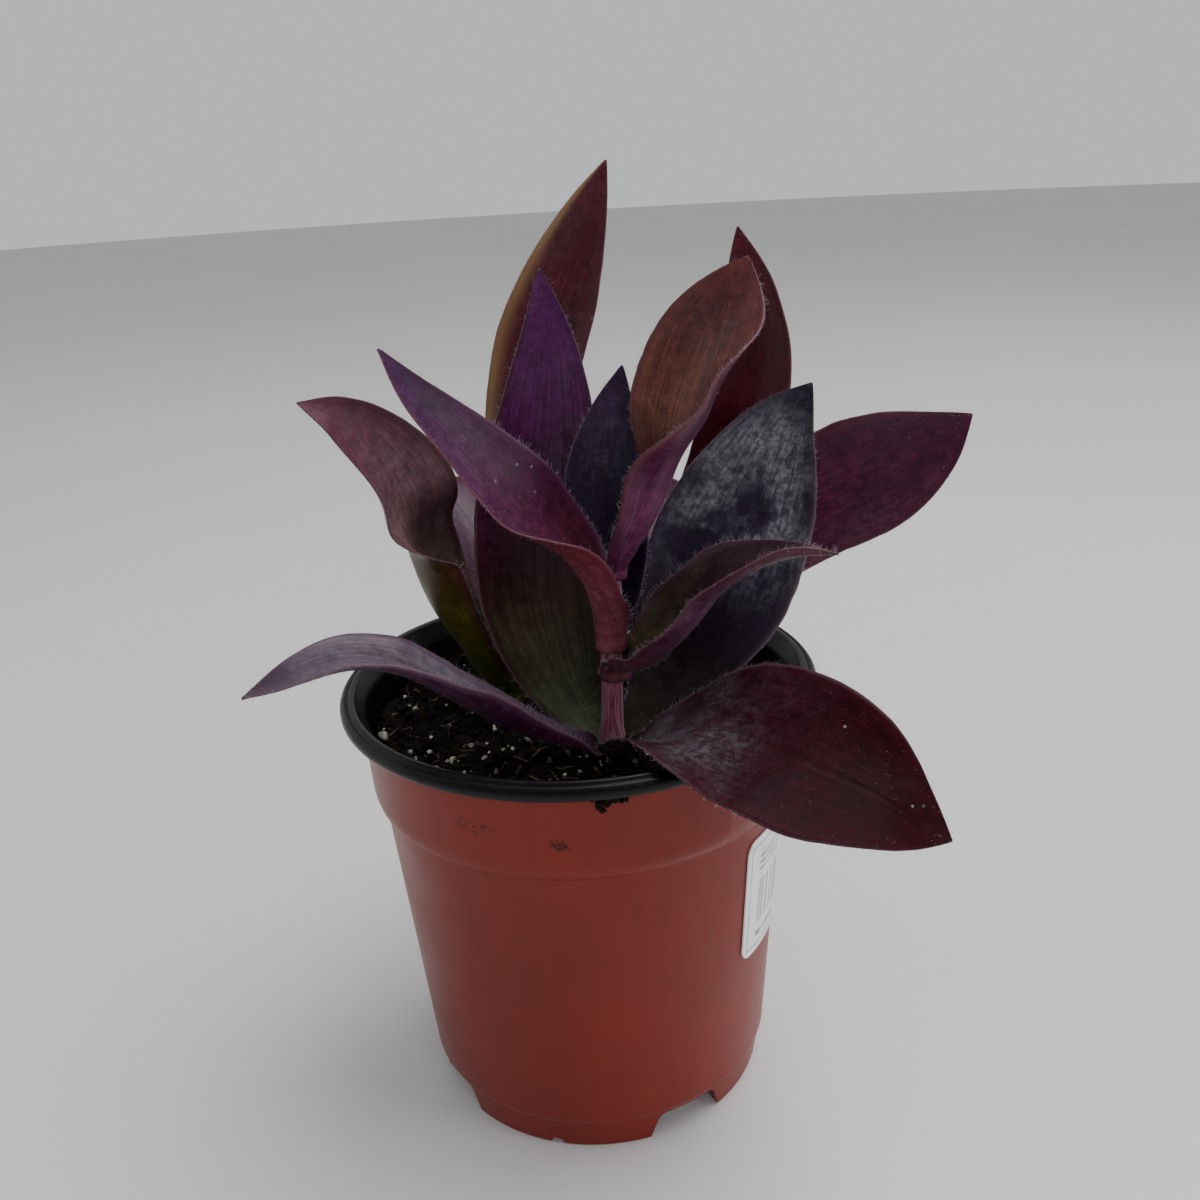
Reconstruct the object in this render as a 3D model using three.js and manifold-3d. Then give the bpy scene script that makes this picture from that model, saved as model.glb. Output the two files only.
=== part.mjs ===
// A potted tradescantia: a purple trailing plant in a small plastic nursery pot.
// Millimetres, +Z up. The foot of the pot stands on z = 0 and its axis is the z axis.
// The front of the object faces -Y. Azimuths are in degrees, from +X towards +Y.
import * as THREE from 'three'
import { mergeVertices } from 'three/addons/utils/BufferGeometryUtils.js'
import Module from 'manifold-3d'

const wasm = await Module()
wasm.setup()

// Driving dimensions of the pot
const POT_HEIGHT = 98.4
const RIM_RADIUS = 52.5
const RIM_DROP = 3.6
const RIM_GROOVE_DEPTH = 0.7
const LIP_INNER_RADIUS = 48.9
const COLLAR_TOP_RADIUS = 48.2
const COLLAR_FOOT_RADIUS = 47.4
const COLLAR_FOOT_HEIGHT = 77.6
const LEDGE_HEIGHT = 73.8
const LEDGE_STEP = 0.7
const BODY_TOP_RADIUS = 45.3
const BODY_FOOT_RADIUS = 40.1
const BODY_FOOT_HEIGHT = 8.2
const FOOT_RADIUS = 38.4
const FOOT_WALL = 2.6
const PAD_RADIUS = 7
const WALL = 1.3
const POT_SIDES = 72

// The foot ring: four lobes with a wide recess between each two
const FOOT_LOBES = 4
const FIRST_RECESS_AZIMUTH = -62
const RECESS_WIDTH = 19
const RECESS_TOP_WIDTH = 14
const RECESS_HEIGHT = 6.6
const NOTCH_WIDTH = 4
const NOTCH_HEIGHT = 1.6
const DRAIN_HOLE_RADIUS = 4
const DRAIN_HOLE_DISTANCE = 24

// The flat panel on the right, where the collar stops and the label sits
const PANEL_FROM_AZIMUTH = -53.5
const PANEL_TO_AZIMUTH = 15
const PANEL_FOOT_RADIUS = 46
const PANEL_TOP_RADIUS = 47.7

// The label
const LABEL_FROM_AZIMUTH = -43
const LABEL_TO_AZIMUTH = 8
const LABEL_TOP = 69.5
const LABEL_BOTTOM = 39
const LABEL_THICKNESS = 0.6
const LABEL_CORNER = 3
const LABEL_COLUMNS = 16
const LABEL_ROWS = 14

// The soil
const SOIL_TOP = 84.6
const SOIL_LUMP = 1
const SOIL_WAVE = 2.6
const SOIL_MOUND = 1.4
const SOIL_BANK = 4.2
const SOIL_RINGS = 8
const SOIL_SIDES = 56

// The clearance between pieces that touch
const GAP = 0.3

// Leaf blades: their thickness, the grid of one face, and the share of the blade in which the sheath opens
const BLADE_THICKNESS = 0.85
const MARGIN_THICKNESS = 0.65
const STEPS_ALONG = 22
const STEPS_ACROSS = 6
const TIP_HALF_WIDTH = 0.45
const OPENING_SHARE = 0.16
const USUAL_TURN = [0.25, 0.55]
const RIPPLES = 17
const MIDRIB_DIVISIONS = 400

const degrees = THREE.MathUtils.degToRad
const lerp = THREE.MathUtils.lerp
const smooth = THREE.MathUtils.smoothstep

function material(colour, roughness) {
  return new THREE.MeshStandardMaterial({ color: colour, roughness, metalness: 0 })
}

function solidOf(geometry) {
  const bare = geometry.index ? geometry.toNonIndexed() : geometry
  for (const name of ['normal', 'uv']) bare.deleteAttribute(name)
  const merged = mergeVertices(bare, 1e-4)
  const vertProperties = Float32Array.from(merged.attributes.position.array)
  const triVerts = Uint32Array.from(merged.index.array)
  return new wasm.Manifold(new wasm.Mesh({ numProp: 3, vertProperties, triVerts }))
}

function geometryOf(solid) {
  const { vertProperties, triVerts } = solid.getMesh()
  const geometry = new THREE.BufferGeometry()
  geometry.setAttribute('position', new THREE.BufferAttribute(new Float32Array(vertProperties), 3))
  geometry.setIndex(new THREE.BufferAttribute(new Uint32Array(triVerts), 1))
  return geometry
}

function piece(name, geometry, look) {
  const mesh = new THREE.Mesh(geometry, look)
  mesh.name = name
  return mesh
}

// A solid of revolution about z from a profile of [radius, height] pairs, drawn anticlockwise
function turned(profile, sides) {
  const points = profile.map(([radius, height]) => new THREE.Vector2(radius, height))
  const geometry = new THREE.LatheGeometry(points, sides)
  geometry.rotateX(Math.PI / 2)
  return geometry
}

// The radius of the tapered body's outside at a height
function bodyRadius(height) {
  const share = (height - BODY_FOOT_HEIGHT) / (LEDGE_HEIGHT - BODY_FOOT_HEIGHT)
  return lerp(BODY_FOOT_RADIUS, BODY_TOP_RADIUS, share)
}

// Pot

// The pot's section, from the resting pad pressed into the middle of its floor out and up the outside,
// over the rim and down inside
function potProfile() {
  const rimBottom = POT_HEIGHT - RIM_DROP
  const floorBottom = BODY_FOOT_HEIGHT - WALL
  const floorTop = BODY_FOOT_HEIGHT + WALL
  const innerFootRadius = BODY_FOOT_RADIUS - WALL
  const pad = [
    [0, 0],
    [PAD_RADIUS, 0],
    [PAD_RADIUS + 1, floorBottom],
  ]
  const foot = [
    [FOOT_RADIUS - FOOT_WALL - 0.6, floorBottom],
    [FOOT_RADIUS - FOOT_WALL, 0],
    [FOOT_RADIUS, 0],
    [BODY_FOOT_RADIUS - 0.9, BODY_FOOT_HEIGHT - 1],
    [BODY_FOOT_RADIUS, BODY_FOOT_HEIGHT],
  ]
  const collar = [
    [BODY_TOP_RADIUS, LEDGE_HEIGHT],
    [BODY_TOP_RADIUS + LEDGE_STEP, LEDGE_HEIGHT + 0.4],
    [COLLAR_FOOT_RADIUS - 0.5, LEDGE_HEIGHT + 1.8],
    [COLLAR_FOOT_RADIUS, COLLAR_FOOT_HEIGHT],
    [COLLAR_TOP_RADIUS, rimBottom - 1.2],
    [COLLAR_TOP_RADIUS + 0.5, rimBottom - 0.3],
    [COLLAR_TOP_RADIUS + 0.6, rimBottom + 0.9],
  ]
  const rim = [
    [RIM_RADIUS - 0.7, rimBottom],
    [RIM_RADIUS, rimBottom + 0.9],
    [RIM_RADIUS - 0.1, POT_HEIGHT - 1.3],
    [RIM_RADIUS - 0.9, POT_HEIGHT - 0.5],
    [RIM_RADIUS - 1.5, POT_HEIGHT - RIM_GROOVE_DEPTH],
    [RIM_RADIUS - 2.2, POT_HEIGHT],
    [LIP_INNER_RADIUS + 0.4, POT_HEIGHT - 0.1],
    [LIP_INNER_RADIUS, POT_HEIGHT - 0.8],
  ]
  const inside = [
    [COLLAR_TOP_RADIUS - WALL, rimBottom],
    [BODY_TOP_RADIUS - WALL, LEDGE_HEIGHT],
    [innerFootRadius, floorTop + 2],
    [innerFootRadius - 1.5, floorTop],
    [PAD_RADIUS, floorTop],
    [PAD_RADIUS - WALL, WALL],
    [0, WALL],
  ]
  return [...pad, ...foot, ...collar, ...rim, ...inside]
}

// A block that stands across the wall at an azimuth, with its outline in the wall's own plane
function wallCutter(outline, azimuth, fromRadius, toRadius) {
  const shape = new THREE.Shape(outline.map(([across, up]) => new THREE.Vector2(across, up)))
  const block = new THREE.ExtrudeGeometry(shape, { depth: toRadius - fromRadius, bevelEnabled: false })
  block.rotateX(Math.PI / 2)
  block.rotateZ(Math.PI / 2)
  block.translate(fromRadius, 0, 0)
  block.rotateZ(degrees(azimuth))
  return solidOf(block)
}

function footCutters() {
  const below = -1
  const fromRadius = FOOT_RADIUS - 5
  const toRadius = FOOT_RADIUS + 5
  const recess = [
    [-RECESS_WIDTH / 2, below],
    [RECESS_WIDTH / 2, below],
    [RECESS_TOP_WIDTH / 2, RECESS_HEIGHT],
    [-RECESS_TOP_WIDTH / 2, RECESS_HEIGHT],
  ]
  const notch = [
    [-NOTCH_WIDTH / 2, below],
    [NOTCH_WIDTH / 2, below],
    [NOTCH_WIDTH / 4, NOTCH_HEIGHT],
    [-NOTCH_WIDTH / 4, NOTCH_HEIGHT],
  ]
  const turn = 360 / FOOT_LOBES
  const cutters = []
  for (let lobe = 0; lobe < FOOT_LOBES; lobe++) {
    const azimuth = FIRST_RECESS_AZIMUTH + lobe * turn
    cutters.push(wallCutter(recess, azimuth, fromRadius, toRadius))
    cutters.push(wallCutter(notch, azimuth + turn / 2, fromRadius, toRadius))
    const depth = 3 * BODY_FOOT_HEIGHT
    const hole = new THREE.CylinderGeometry(DRAIN_HOLE_RADIUS, DRAIN_HOLE_RADIUS, depth, 16)
    hole.rotateX(Math.PI / 2)
    hole.translate(DRAIN_HOLE_DISTANCE, 0, 0)
    hole.rotateZ(degrees(azimuth))
    cutters.push(solidOf(hole))
  }
  return cutters
}

// What is cut off the collar over the panel: a sector of a ring that follows the body's taper
function panelCutter() {
  const height = POT_HEIGHT - RIM_DROP - 1.5
  const sweep = PANEL_TO_AZIMUTH - PANEL_FROM_AZIMUTH
  const steps = 12
  const outline = [
    [bodyRadius(LEDGE_HEIGHT - 1), LEDGE_HEIGHT - 1],
    [RIM_RADIUS + 4, LEDGE_HEIGHT - 1],
    [RIM_RADIUS + 4, height],
    [PANEL_TOP_RADIUS, height],
    [PANEL_FOOT_RADIUS, COLLAR_FOOT_HEIGHT],
  ]
  const section = outline.map(([radius, up]) => new THREE.Vector2(radius, up))
  const ring = new THREE.LatheGeometry([...section, section[0]], POT_SIDES)
  ring.rotateX(Math.PI / 2)
  const reach = RIM_RADIUS + 20
  const sector = new THREE.Shape()
  sector.moveTo(0, 0)
  for (let step = 0; step <= steps; step++) {
    const angle = degrees(PANEL_FROM_AZIMUTH + (sweep * step) / steps)
    sector.lineTo(reach * Math.cos(angle), reach * Math.sin(angle))
  }
  const wedge = new THREE.ExtrudeGeometry(sector, { depth: POT_HEIGHT, bevelEnabled: false })
  return solidOf(ring).intersect(solidOf(wedge))
}

function potGeometry() {
  let pot = solidOf(turned(potProfile(), POT_SIDES))
  for (const cutter of footCutters()) pot = pot.subtract(cutter)
  return geometryOf(pot.subtract(panelCutter()))
}

// Stems: each is a straight, slightly leaning shoot, thicker at its nodes, and stands in the soil

const STEM_SIDES = 12
const STEM_RINGS = 16
const NODE_LENGTH = 1.6
const NODE_SWELLING = 0.28
const STEMS = {
  stem_front: {
    foot: [5.4, -14.6, 70], top: [8.35, -13.2, 125], radius: 2.9, topRadius: 1.9, nodes: [89, 105],
  },
  stem_left: {
    foot: [-16.6, 14.5, 70], top: [-14.8, 18, 112], radius: 2.8, topRadius: 2.3, nodes: [90.5, 101],
  },
  stem_right: {
    foot: [26, 13, 70], top: [25, 17.3, 111], radius: 2.8, topRadius: 2.2, nodes: [89, 95],
  },
}

// The point on a stem's axis at a height
function stemPoint(stem, height) {
  const foot = new THREE.Vector3(...stem.foot)
  const top = new THREE.Vector3(...stem.top)
  return foot.lerp(top, (height - stem.foot[2]) / (stem.top[2] - stem.foot[2]))
}

function stemRadius(stem, height) {
  return lerp(stem.radius, stem.topRadius, (height - stem.foot[2]) / (stem.top[2] - stem.foot[2]))
}

// The direction in which a stem grows
function stemLine(stem) {
  return new THREE.Vector3(...stem.top).sub(new THREE.Vector3(...stem.foot))
}

function stemGeometry(stem) {
  const line = stemLine(stem)
  const length = line.length()
  const profile = [[0, 0]]
  for (let ring = 0; ring <= STEM_RINGS; ring++) {
    const along = ring / STEM_RINGS
    const height = lerp(stem.foot[2], stem.top[2], along)
    const bulges = stem.nodes.map((node) => Math.exp(-(((height - node) / NODE_LENGTH) ** 2)))
    profile.push([stemRadius(stem, height) + NODE_SWELLING * Math.max(...bulges), along * length])
  }
  profile.push([0, length])
  const geometry = turned(profile, STEM_SIDES)
  const lean = new THREE.Quaternion().setFromUnitVectors(new THREE.Vector3(0, 0, 1), line.normalize())
  geometry.applyQuaternion(lean)
  geometry.translate(...stem.foot)
  return geometryOf(solidOf(geometry))
}

// Leaves. Each clasps its stem with a short sheath and opens into a pointed, boat-shaped blade.
// sheath: the height where it starts, its length, inner radius, azimuth on the stem, half wrap in degrees.
// path: the midrib's points from the throat to the tip. open: the directions that the inner face looks in,
// up to the turn, after it and at the tip. fold: half the trough's arc there, in degrees.
// turn: the shares of the blade between which it goes from the first to the second, where it isn't the usual.

const LEAVES = {
  leaf_front_left: {
    stem: 'stem_front', sheath: { from: 83.5, length: 3, radius: 3.4, azimuth: 195, wrap: 39 },
    path: [[-1, -18, 89], [-9, -20, 92.5], [-17, -22, 98], [-26, -25, 106], [-35, -28, 113.5],
      [-44, -31, 117], [-53, -34, 116.5], [-63.5, -37, 113.5]],
    open: [[0.4, 0.3, 1], [0.1, 0.1, 1], [-0.1, -0.2, 1]],
    halfWidth: 11.5, widest: 0.5, taper: 2, fold: [70, 42, 18], wave: 0.5, colour: 0x4b2c49,
  },
  leaf_front_right: {
    stem: 'stem_front', sheath: { from: 82.8, length: 3, radius: 3.4, azimuth: 290, wrap: 53 },
    path: [[8.7, -22, 89.6], [15, -30, 96], [23.5, -38, 100.6], [34, -47, 101.6], [44, -55, 99.5],
      [54, -61, 95.5], [64, -64, 89]],
    open: [[-0.2, 0.15, 1], [-0.1, -0.5, 0.85], [0.2, -0.6, 0.8]],
    halfWidth: 17.3, widest: 0.56, taper: 2.3, fold: [42, 20, 10], wave: 0.8, colour: 0x3f1d2c,
  },
  leaf_back_left_tall: {
    stem: 'stem_front', sheath: { from: 83.5, length: 3, radius: 3.4, azimuth: 116, wrap: 38 },
    path: [[-1, -7, 94], [-5, -3, 104], [-7.5, 1, 118], [-6, 4, 136.5], [-3.5, 7, 153.5],
      [-2, 9, 169], [-2.5, 11, 184]],
    open: [[0.2, -0.9, 0.1], [0.1, -1, 0.1], [0.1, -1, 0.2]],
    halfWidth: 14.5, widest: 0.38, taper: 2, fold: [45, 26, 20], wave: 0.4, colour: 0x43204f,
  },
  leaf_right_dusty: {
    stem: 'stem_front', sheath: { from: 83.5, length: 3, radius: 3.4, azimuth: 38, wrap: 38 },
    path: [[16, -9, 92], [23.5, -6, 100], [29.5, -3, 111], [34.5, 0, 124], [40, 2, 136.5],
      [46, 3, 149], [52.5, 3, 158.5]],
    open: [[-0.5, -0.7, 0.3], [-0.3, -0.9, 0.3], [-0.3, -0.9, 0.2]],
    halfWidth: 17.5, widest: 0.48, taper: 2.2, fold: [50, 28, 16], wave: 0.4, colour: 0x2c2a45,
  },
  leaf_small_right: {
    stem: 'stem_front', sheath: { from: 102.5, length: 2.5, radius: 3.2, azimuth: 322, wrap: 102 },
    path: [[12, -18, 107], [18, -21.5, 111.5], [24, -25, 119.5], [29, -29, 127.5],
      [35.5, -33, 132.5], [42.5, -36, 135], [49, -38, 135]],
    open: [[-0.8, 0, 0.6], [-0.7, -0.2, 0.8], [0, 0.2, 1]],
    halfWidth: 12, widest: 0.32, taper: 1.15, fold: [80, 74, 66], wave: 0.8, colour: 0x43263c,
  },
  leaf_left_long: {
    stem: 'stem_front', sheath: { from: 109, length: 3, radius: 2.8, azimuth: 195, wrap: 145 },
    path: [[4.3, -15.3, 119], [2.3, -16.4, 126], [-1.5, -18.3, 132.5], [-7, -21, 139.5],
      [-14, -24, 149], [-21, -27, 159], [-27, -30, 168.5], [-31, -32, 176]],
    open: [[0.9, 0.05, 0.4], [0.5, -0.6, 0.6], [0.4, -0.7, 0.6]],
    halfWidth: 12, widest: 0.36, taper: 1.55, fold: [75, 52, 34], wave: 0.4, colour: 0x5a2f58,
  },
  leaf_top: {
    stem: 'stem_front', sheath: { from: 124.3, length: 2.3, radius: 2.3, azimuth: 335, wrap: 100 },
    path: [[12.5, -15.5, 130.5], [17, -16, 138], [22, -15, 149], [27, -12, 161], [32.5, -8, 173.5],
      [38, -5, 185.5]],
    open: [[-1, 0.35, 0.3], [-0.85, -0.5, 0.4], [-0.3, -0.9, 0.2]],
    halfWidth: 14.6, widest: 0.6, taper: 2, fold: [85, 62, 26], wave: 0.3, colour: 0x5b3038,
  },
  leaf_top_young: {
    stem: 'stem_front', sheath: { from: 107, length: 1.2, radius: 3.3, azimuth: 105, wrap: 38 },
    path: [[7.6, -8, 111.5], [9, -6, 118], [9, -4.5, 127], [8, -2.5, 136], [8.5, -1.5, 145],
      [10.5, -0.5, 155], [13, 0, 165]],
    open: [[0, -1, 0.2], [0.1, -1, 0.1], [0, -1, 0.2]],
    halfWidth: 9.5, widest: 0.62, taper: 1.35, fold: [50, 45, 35], wave: 0.2, colour: 0x272244,
  },
  leaf_left_broad: {
    stem: 'stem_left', sheath: { from: 84, length: 4, radius: 3.2, azimuth: 220, wrap: 105 },
    path: [[-21.5, 10.5, 93.5], [-25.3, 9, 102], [-31, 7, 114], [-34, 4, 127], [-35, 1, 140],
      [-39, -2, 151], [-44.5, -5, 158.5], [-51.5, -8, 163]],
    open: [[1, 0.12, 0.1], [0.5, -0.55, 0.65], [0.1, -0.7, 0.7]], turn: [0.48, 0.66],
    halfWidth: 15.5, widest: 0.46, taper: 2, fold: [86, 56, 20], wave: 1.1, colour: 0x553944,
  },
  leaf_tallest: {
    stem: 'stem_left', sheath: { from: 104, length: 5, radius: 2.9, azimuth: 45, wrap: 120 },
    path: [[-11.5, 22, 115], [-10.5, 25, 124], [-9, 26, 138], [-6, 26, 155], [-0.5, 26, 173],
      [6, 26, 188.5], [13, 26, 204]],
    open: [[-0.3, -0.9, 0.1], [-0.2, -1, 0.1], [-0.1, -1, 0.1]],
    halfWidth: 10.8, widest: 0.55, taper: 2, fold: [65, 40, 28], wave: 0.3, colour: 0x5b3035,
  },
  leaf_back_left: {
    stem: 'stem_left', sheath: { from: 95.5, length: 3, radius: 3, azimuth: 85, wrap: 78 },
    path: [[-15.5, 24, 104], [-18.5, 31, 113.5], [-24, 39, 123], [-30, 46, 129], [-36, 53, 130]],
    open: [[0.3, -0.6, 0.8], [0.3, -0.4, 1], [0.2, -0.2, 1]],
    halfWidth: 12, widest: 0.46, taper: 2, fold: [65, 42, 28], wave: 0.4, colour: 0x472844,
  },
  leaf_right_broad: {
    stem: 'stem_right', sheath: { from: 84, length: 4, radius: 3.2, azimuth: 322, wrap: 90 },
    path: [[30.2, 9.7, 93.5], [35, 9.5, 105], [41.5, 10, 118], [50, 9.5, 128], [60, 8, 134],
      [69, 6, 138.5], [78.5, 5, 143.5], [87, 4, 149.5]],
    open: [[-0.6, -0.2, 0.6], [-0.2, -0.9, 0.4], [0, -0.9, 0.4]],
    halfWidth: 13.5, widest: 0.68, taper: 2, fold: [55, 24, 18], wave: 0.4, colour: 0x522034,
  },
  leaf_right_upright: {
    stem: 'stem_right', sheath: { from: 105.2, length: 3.8, radius: 3, azimuth: 52, wrap: 115 },
    path: [[29.2, 24, 116], [34, 27.5, 125], [39.6, 27.5, 137], [43.5, 24, 150], [44.5, 24, 163],
      [43.5, 24, 176], [40.5, 24, 189]],
    open: [[-0.6, -0.8, 0.2], [-0.6, -0.8, 0.1], [-0.5, -0.8, 0]],
    halfWidth: 11.5, widest: 0.55, taper: 2, fold: [65, 46, 32], wave: 0.3, colour: 0x59202f,
  },
  leaf_back_right: {
    stem: 'stem_right', sheath: { from: 96.2, length: 3, radius: 3.1, azimuth: 125, wrap: 82 },
    path: [[23, 23.6, 104], [23, 31, 113], [22, 40, 121.5], [19.5, 48, 126], [16, 55, 125.5]],
    open: [[0.1, -0.7, 0.8], [0, -0.4, 1], [0, -0.1, 1]],
    halfWidth: 12, widest: 0.46, taper: 2, fold: [65, 42, 28], wave: 0.4, colour: 0x4a2337,
  },
}

// Half the width of a blade, measured along its arc, at a share of the way from throat to tip
function bladeHalfWidth(leaf, throatHalfWidth, share) {
  if (share < leaf.widest) {
    const opened = Math.sin(((share / leaf.widest) * Math.PI) / 2)
    return lerp(throatHalfWidth, leaf.halfWidth, opened)
  }
  const beyond = (share - leaf.widest) / (1 - leaf.widest)
  return lerp(TIP_HALF_WIDTH, leaf.halfWidth, 1 - beyond ** leaf.taper)
}

// A value that passes through three given ones: up to the leaf's turn, after it and at the tip
function through(values, share, turn = USUAL_TURN) {
  const [start, end] = turn
  if (share < start) return values[0]
  if (share < end) return lerp(values[0], values[1], smooth(share, start, end))
  return lerp(values[1], values[2], smooth(share, end, 1))
}

// The blade's centre line, cross-section and frame at a share u of its whole length
function leafSection(leaf, curve, sheathShare, u) {
  const stem = STEMS[leaf.stem]
  const { radius, azimuth, wrap } = leaf.sheath
  const middle = curve.getPointAt(u)
  const tangent = curve.getTangentAt(u)
  const towardsStem = new THREE.Vector3(-Math.cos(degrees(azimuth)), -Math.sin(degrees(azimuth)), 0)
  const share = Math.max(0, (u - sheathShare) / (1 - sheathShare))
  const open = new THREE.Vector3(
    through(leaf.open.map((direction) => direction[0]), share, leaf.turn),
    through(leaf.open.map((direction) => direction[1]), share, leaf.turn),
    through(leaf.open.map((direction) => direction[2]), share, leaf.turn),
  )
  const inward = towardsStem.lerp(open.normalize(), smooth(share, 0, OPENING_SHARE))
  if (share === 0) tangent.copy(stemLine(stem).normalize())
  inward.addScaledVector(tangent, -inward.dot(tangent)).normalize()
  const across = new THREE.Vector3().crossVectors(tangent, inward)
  const sheathArc = degrees(wrap)
  const bladeArc = degrees(through(leaf.fold, share, leaf.turn))
  const arc = lerp(sheathArc, bladeArc, smooth(share, 0, OPENING_SHARE))
  const halfWidth = bladeHalfWidth(leaf, radius * sheathArc, share)
  return { middle, inward, across, arc, radius: halfWidth / arc, share }
}

// A point of the leaf: u along it, v across it from -1 to 1, and how deep below the inner face
function leafPoint(leaf, section, v, outer) {
  const { middle, inward, across, arc, radius, share } = section
  const turn = v * arc
  const depth = outer * lerp(BLADE_THICKNESS, MARGIN_THICKNESS, v * v)
  const ripple = leaf.wave * v * v * Math.sin(share * RIPPLES + v * 2) * Math.sin(share * Math.PI)
  const reach = radius + depth
  return middle.clone()
    .addScaledVector(inward, radius - reach * Math.cos(turn) - ripple * Math.cos(turn))
    .addScaledVector(across, reach * Math.sin(turn) + ripple * Math.sin(turn))
}

// The midrib from the foot of the sheath to the tip
function midrib(leaf) {
  const stem = STEMS[leaf.stem]
  const { from, length, radius, azimuth } = leaf.sheath
  const side = new THREE.Vector3(Math.cos(degrees(azimuth)), Math.sin(degrees(azimuth)), 0)
  const heights = [from, from + length / 2, from + length]
  const clasping = heights.map((height) => stemPoint(stem, height).addScaledVector(side, radius))
  const blade = leaf.path.map((point) => new THREE.Vector3(...point))
  return new THREE.CatmullRomCurve3([...clasping, ...blade], false, 'centripetal')
}

// A leaf is a fine grid bent twice, once as its inner and once as its outer face, and closed round its rim
function leafGeometry(leaf) {
  const curve = midrib(leaf)
  curve.arcLengthDivisions = MIDRIB_DIVISIONS
  const sheathShare = leaf.sheath.length / curve.getLength()
  const grid = new THREE.PlaneGeometry(1, 1, STEPS_ALONG, STEPS_ACROSS)
  const spots = grid.attributes.position
  const positions = []
  for (const outer of [0, 1]) {
    for (let spot = 0; spot < spots.count; spot++) {
      const section = leafSection(leaf, curve, sheathShare, spots.getX(spot) + 0.5)
      positions.push(...leafPoint(leaf, section, 2 * spots.getY(spot), outer).toArray())
    }
  }
  const row = STEPS_ALONG + 1
  const faces = []
  for (let corner = 0; corner < grid.index.count; corner += 3) {
    const [a, b, c] = [0, 1, 2].map((step) => grid.index.getX(corner + step))
    faces.push(a, c, b, a + spots.count, b + spots.count, c + spots.count)
  }
  const rim = []
  for (let step = 0; step < STEPS_ALONG; step++) rim.push(step)
  for (let step = 0; step < STEPS_ACROSS; step++) rim.push(STEPS_ALONG + step * row)
  for (let step = STEPS_ALONG; step > 0; step--) rim.push(step + STEPS_ACROSS * row)
  for (let step = STEPS_ACROSS; step > 0; step--) rim.push(step * row)
  rim.forEach((here, index) => {
    const next = rim[(index + 1) % rim.length]
    faces.push(here, here + spots.count, next, next, here + spots.count, next + spots.count)
  })
  const geometry = new THREE.BufferGeometry()
  geometry.setAttribute('position', new THREE.Float32BufferAttribute(positions, 3))
  geometry.setIndex(faces)
  return geometry
}

// Soil: a plug that fills the pot to just below its rim, with a lumpy top and a plain hole for each stem

// The top of the soil: a low mound with crossed waves on it, banked up against the wall
function soilHeight(x, y) {
  const outward = Math.hypot(x, y) / BODY_TOP_RADIUS
  const mound = SOIL_MOUND * (1 - outward ** 2)
  const bank = SOIL_BANK * smooth(outward, 0.72, 1)
  const broad = Math.sin(x / SOIL_WAVE + 1.3) * Math.cos(y / SOIL_WAVE)
  const narrow = Math.sin((x - 0.85 * y) / (0.46 * SOIL_WAVE))
  return SOIL_TOP + mound + bank + SOIL_LUMP * (0.6 * broad + 0.4 * narrow)
}

// The widest thing that stands in the soil round a stem: the stem or the sheaths at its foot
function holeRadius(name) {
  const stem = STEMS[name]
  let radius = stem.radius + 0.3
  for (const leaf of Object.values(LEAVES)) {
    const buried = leaf.stem === name && leaf.sheath.from < SOIL_TOP + 3
    if (buried) radius = Math.max(radius, leaf.sheath.radius + BLADE_THICKNESS)
  }
  return radius + 3 * GAP
}

function soilGeometry() {
  const floor = BODY_FOOT_HEIGHT + WALL + GAP
  const ledgeRadius = BODY_TOP_RADIUS - WALL - GAP
  const topRadius = lerp(ledgeRadius, COLLAR_TOP_RADIUS - WALL - GAP, 0.45)
  const edge = SOIL_TOP
  const profile = [
    [0, WALL + GAP],
    [PAD_RADIUS - WALL - 2 * GAP, WALL + GAP],
    [PAD_RADIUS - 2 * GAP, floor],
    [bodyRadius(floor) - WALL - GAP - 2, floor],
    [bodyRadius(floor + 2.5) - WALL - GAP - 0.3, floor + 2.5],
    [ledgeRadius - 0.1, LEDGE_HEIGHT],
  ]
  for (let ring = 0; ring <= SOIL_RINGS; ring++) {
    profile.push([topRadius * (1 - (ring / SOIL_RINGS) ** 1.2), edge])
  }
  const plug = turned(profile, SOIL_SIDES)
  const spots = plug.attributes.position
  for (let spot = 0; spot < spots.count; spot++) {
    const [x, y, z] = [spots.getX(spot), spots.getY(spot), spots.getZ(spot)]
    if (z > edge - GAP) spots.setZ(spot, soilHeight(x, y))
  }
  let soil = solidOf(plug)
  for (const [name, stem] of Object.entries(STEMS)) {
    const radius = holeRadius(name)
    const foot = new THREE.Vector3(...stem.foot)
    const line = new THREE.Vector3(...stem.top).sub(foot).normalize()
    const tall = SOIL_TOP + 12 - stem.foot[2]
    const hole = new THREE.CylinderGeometry(radius, radius, tall, 20)
    hole.translate(0, tall / 2 - GAP, 0)
    hole.applyQuaternion(new THREE.Quaternion().setFromUnitVectors(new THREE.Vector3(0, 1, 0), line))
    hole.translate(...stem.foot)
    soil = soil.subtract(solidOf(hole))
  }
  return geometryOf(soil)
}

// Label: a thin plate with rounded corners that follows the body's taper on the panel

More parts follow.
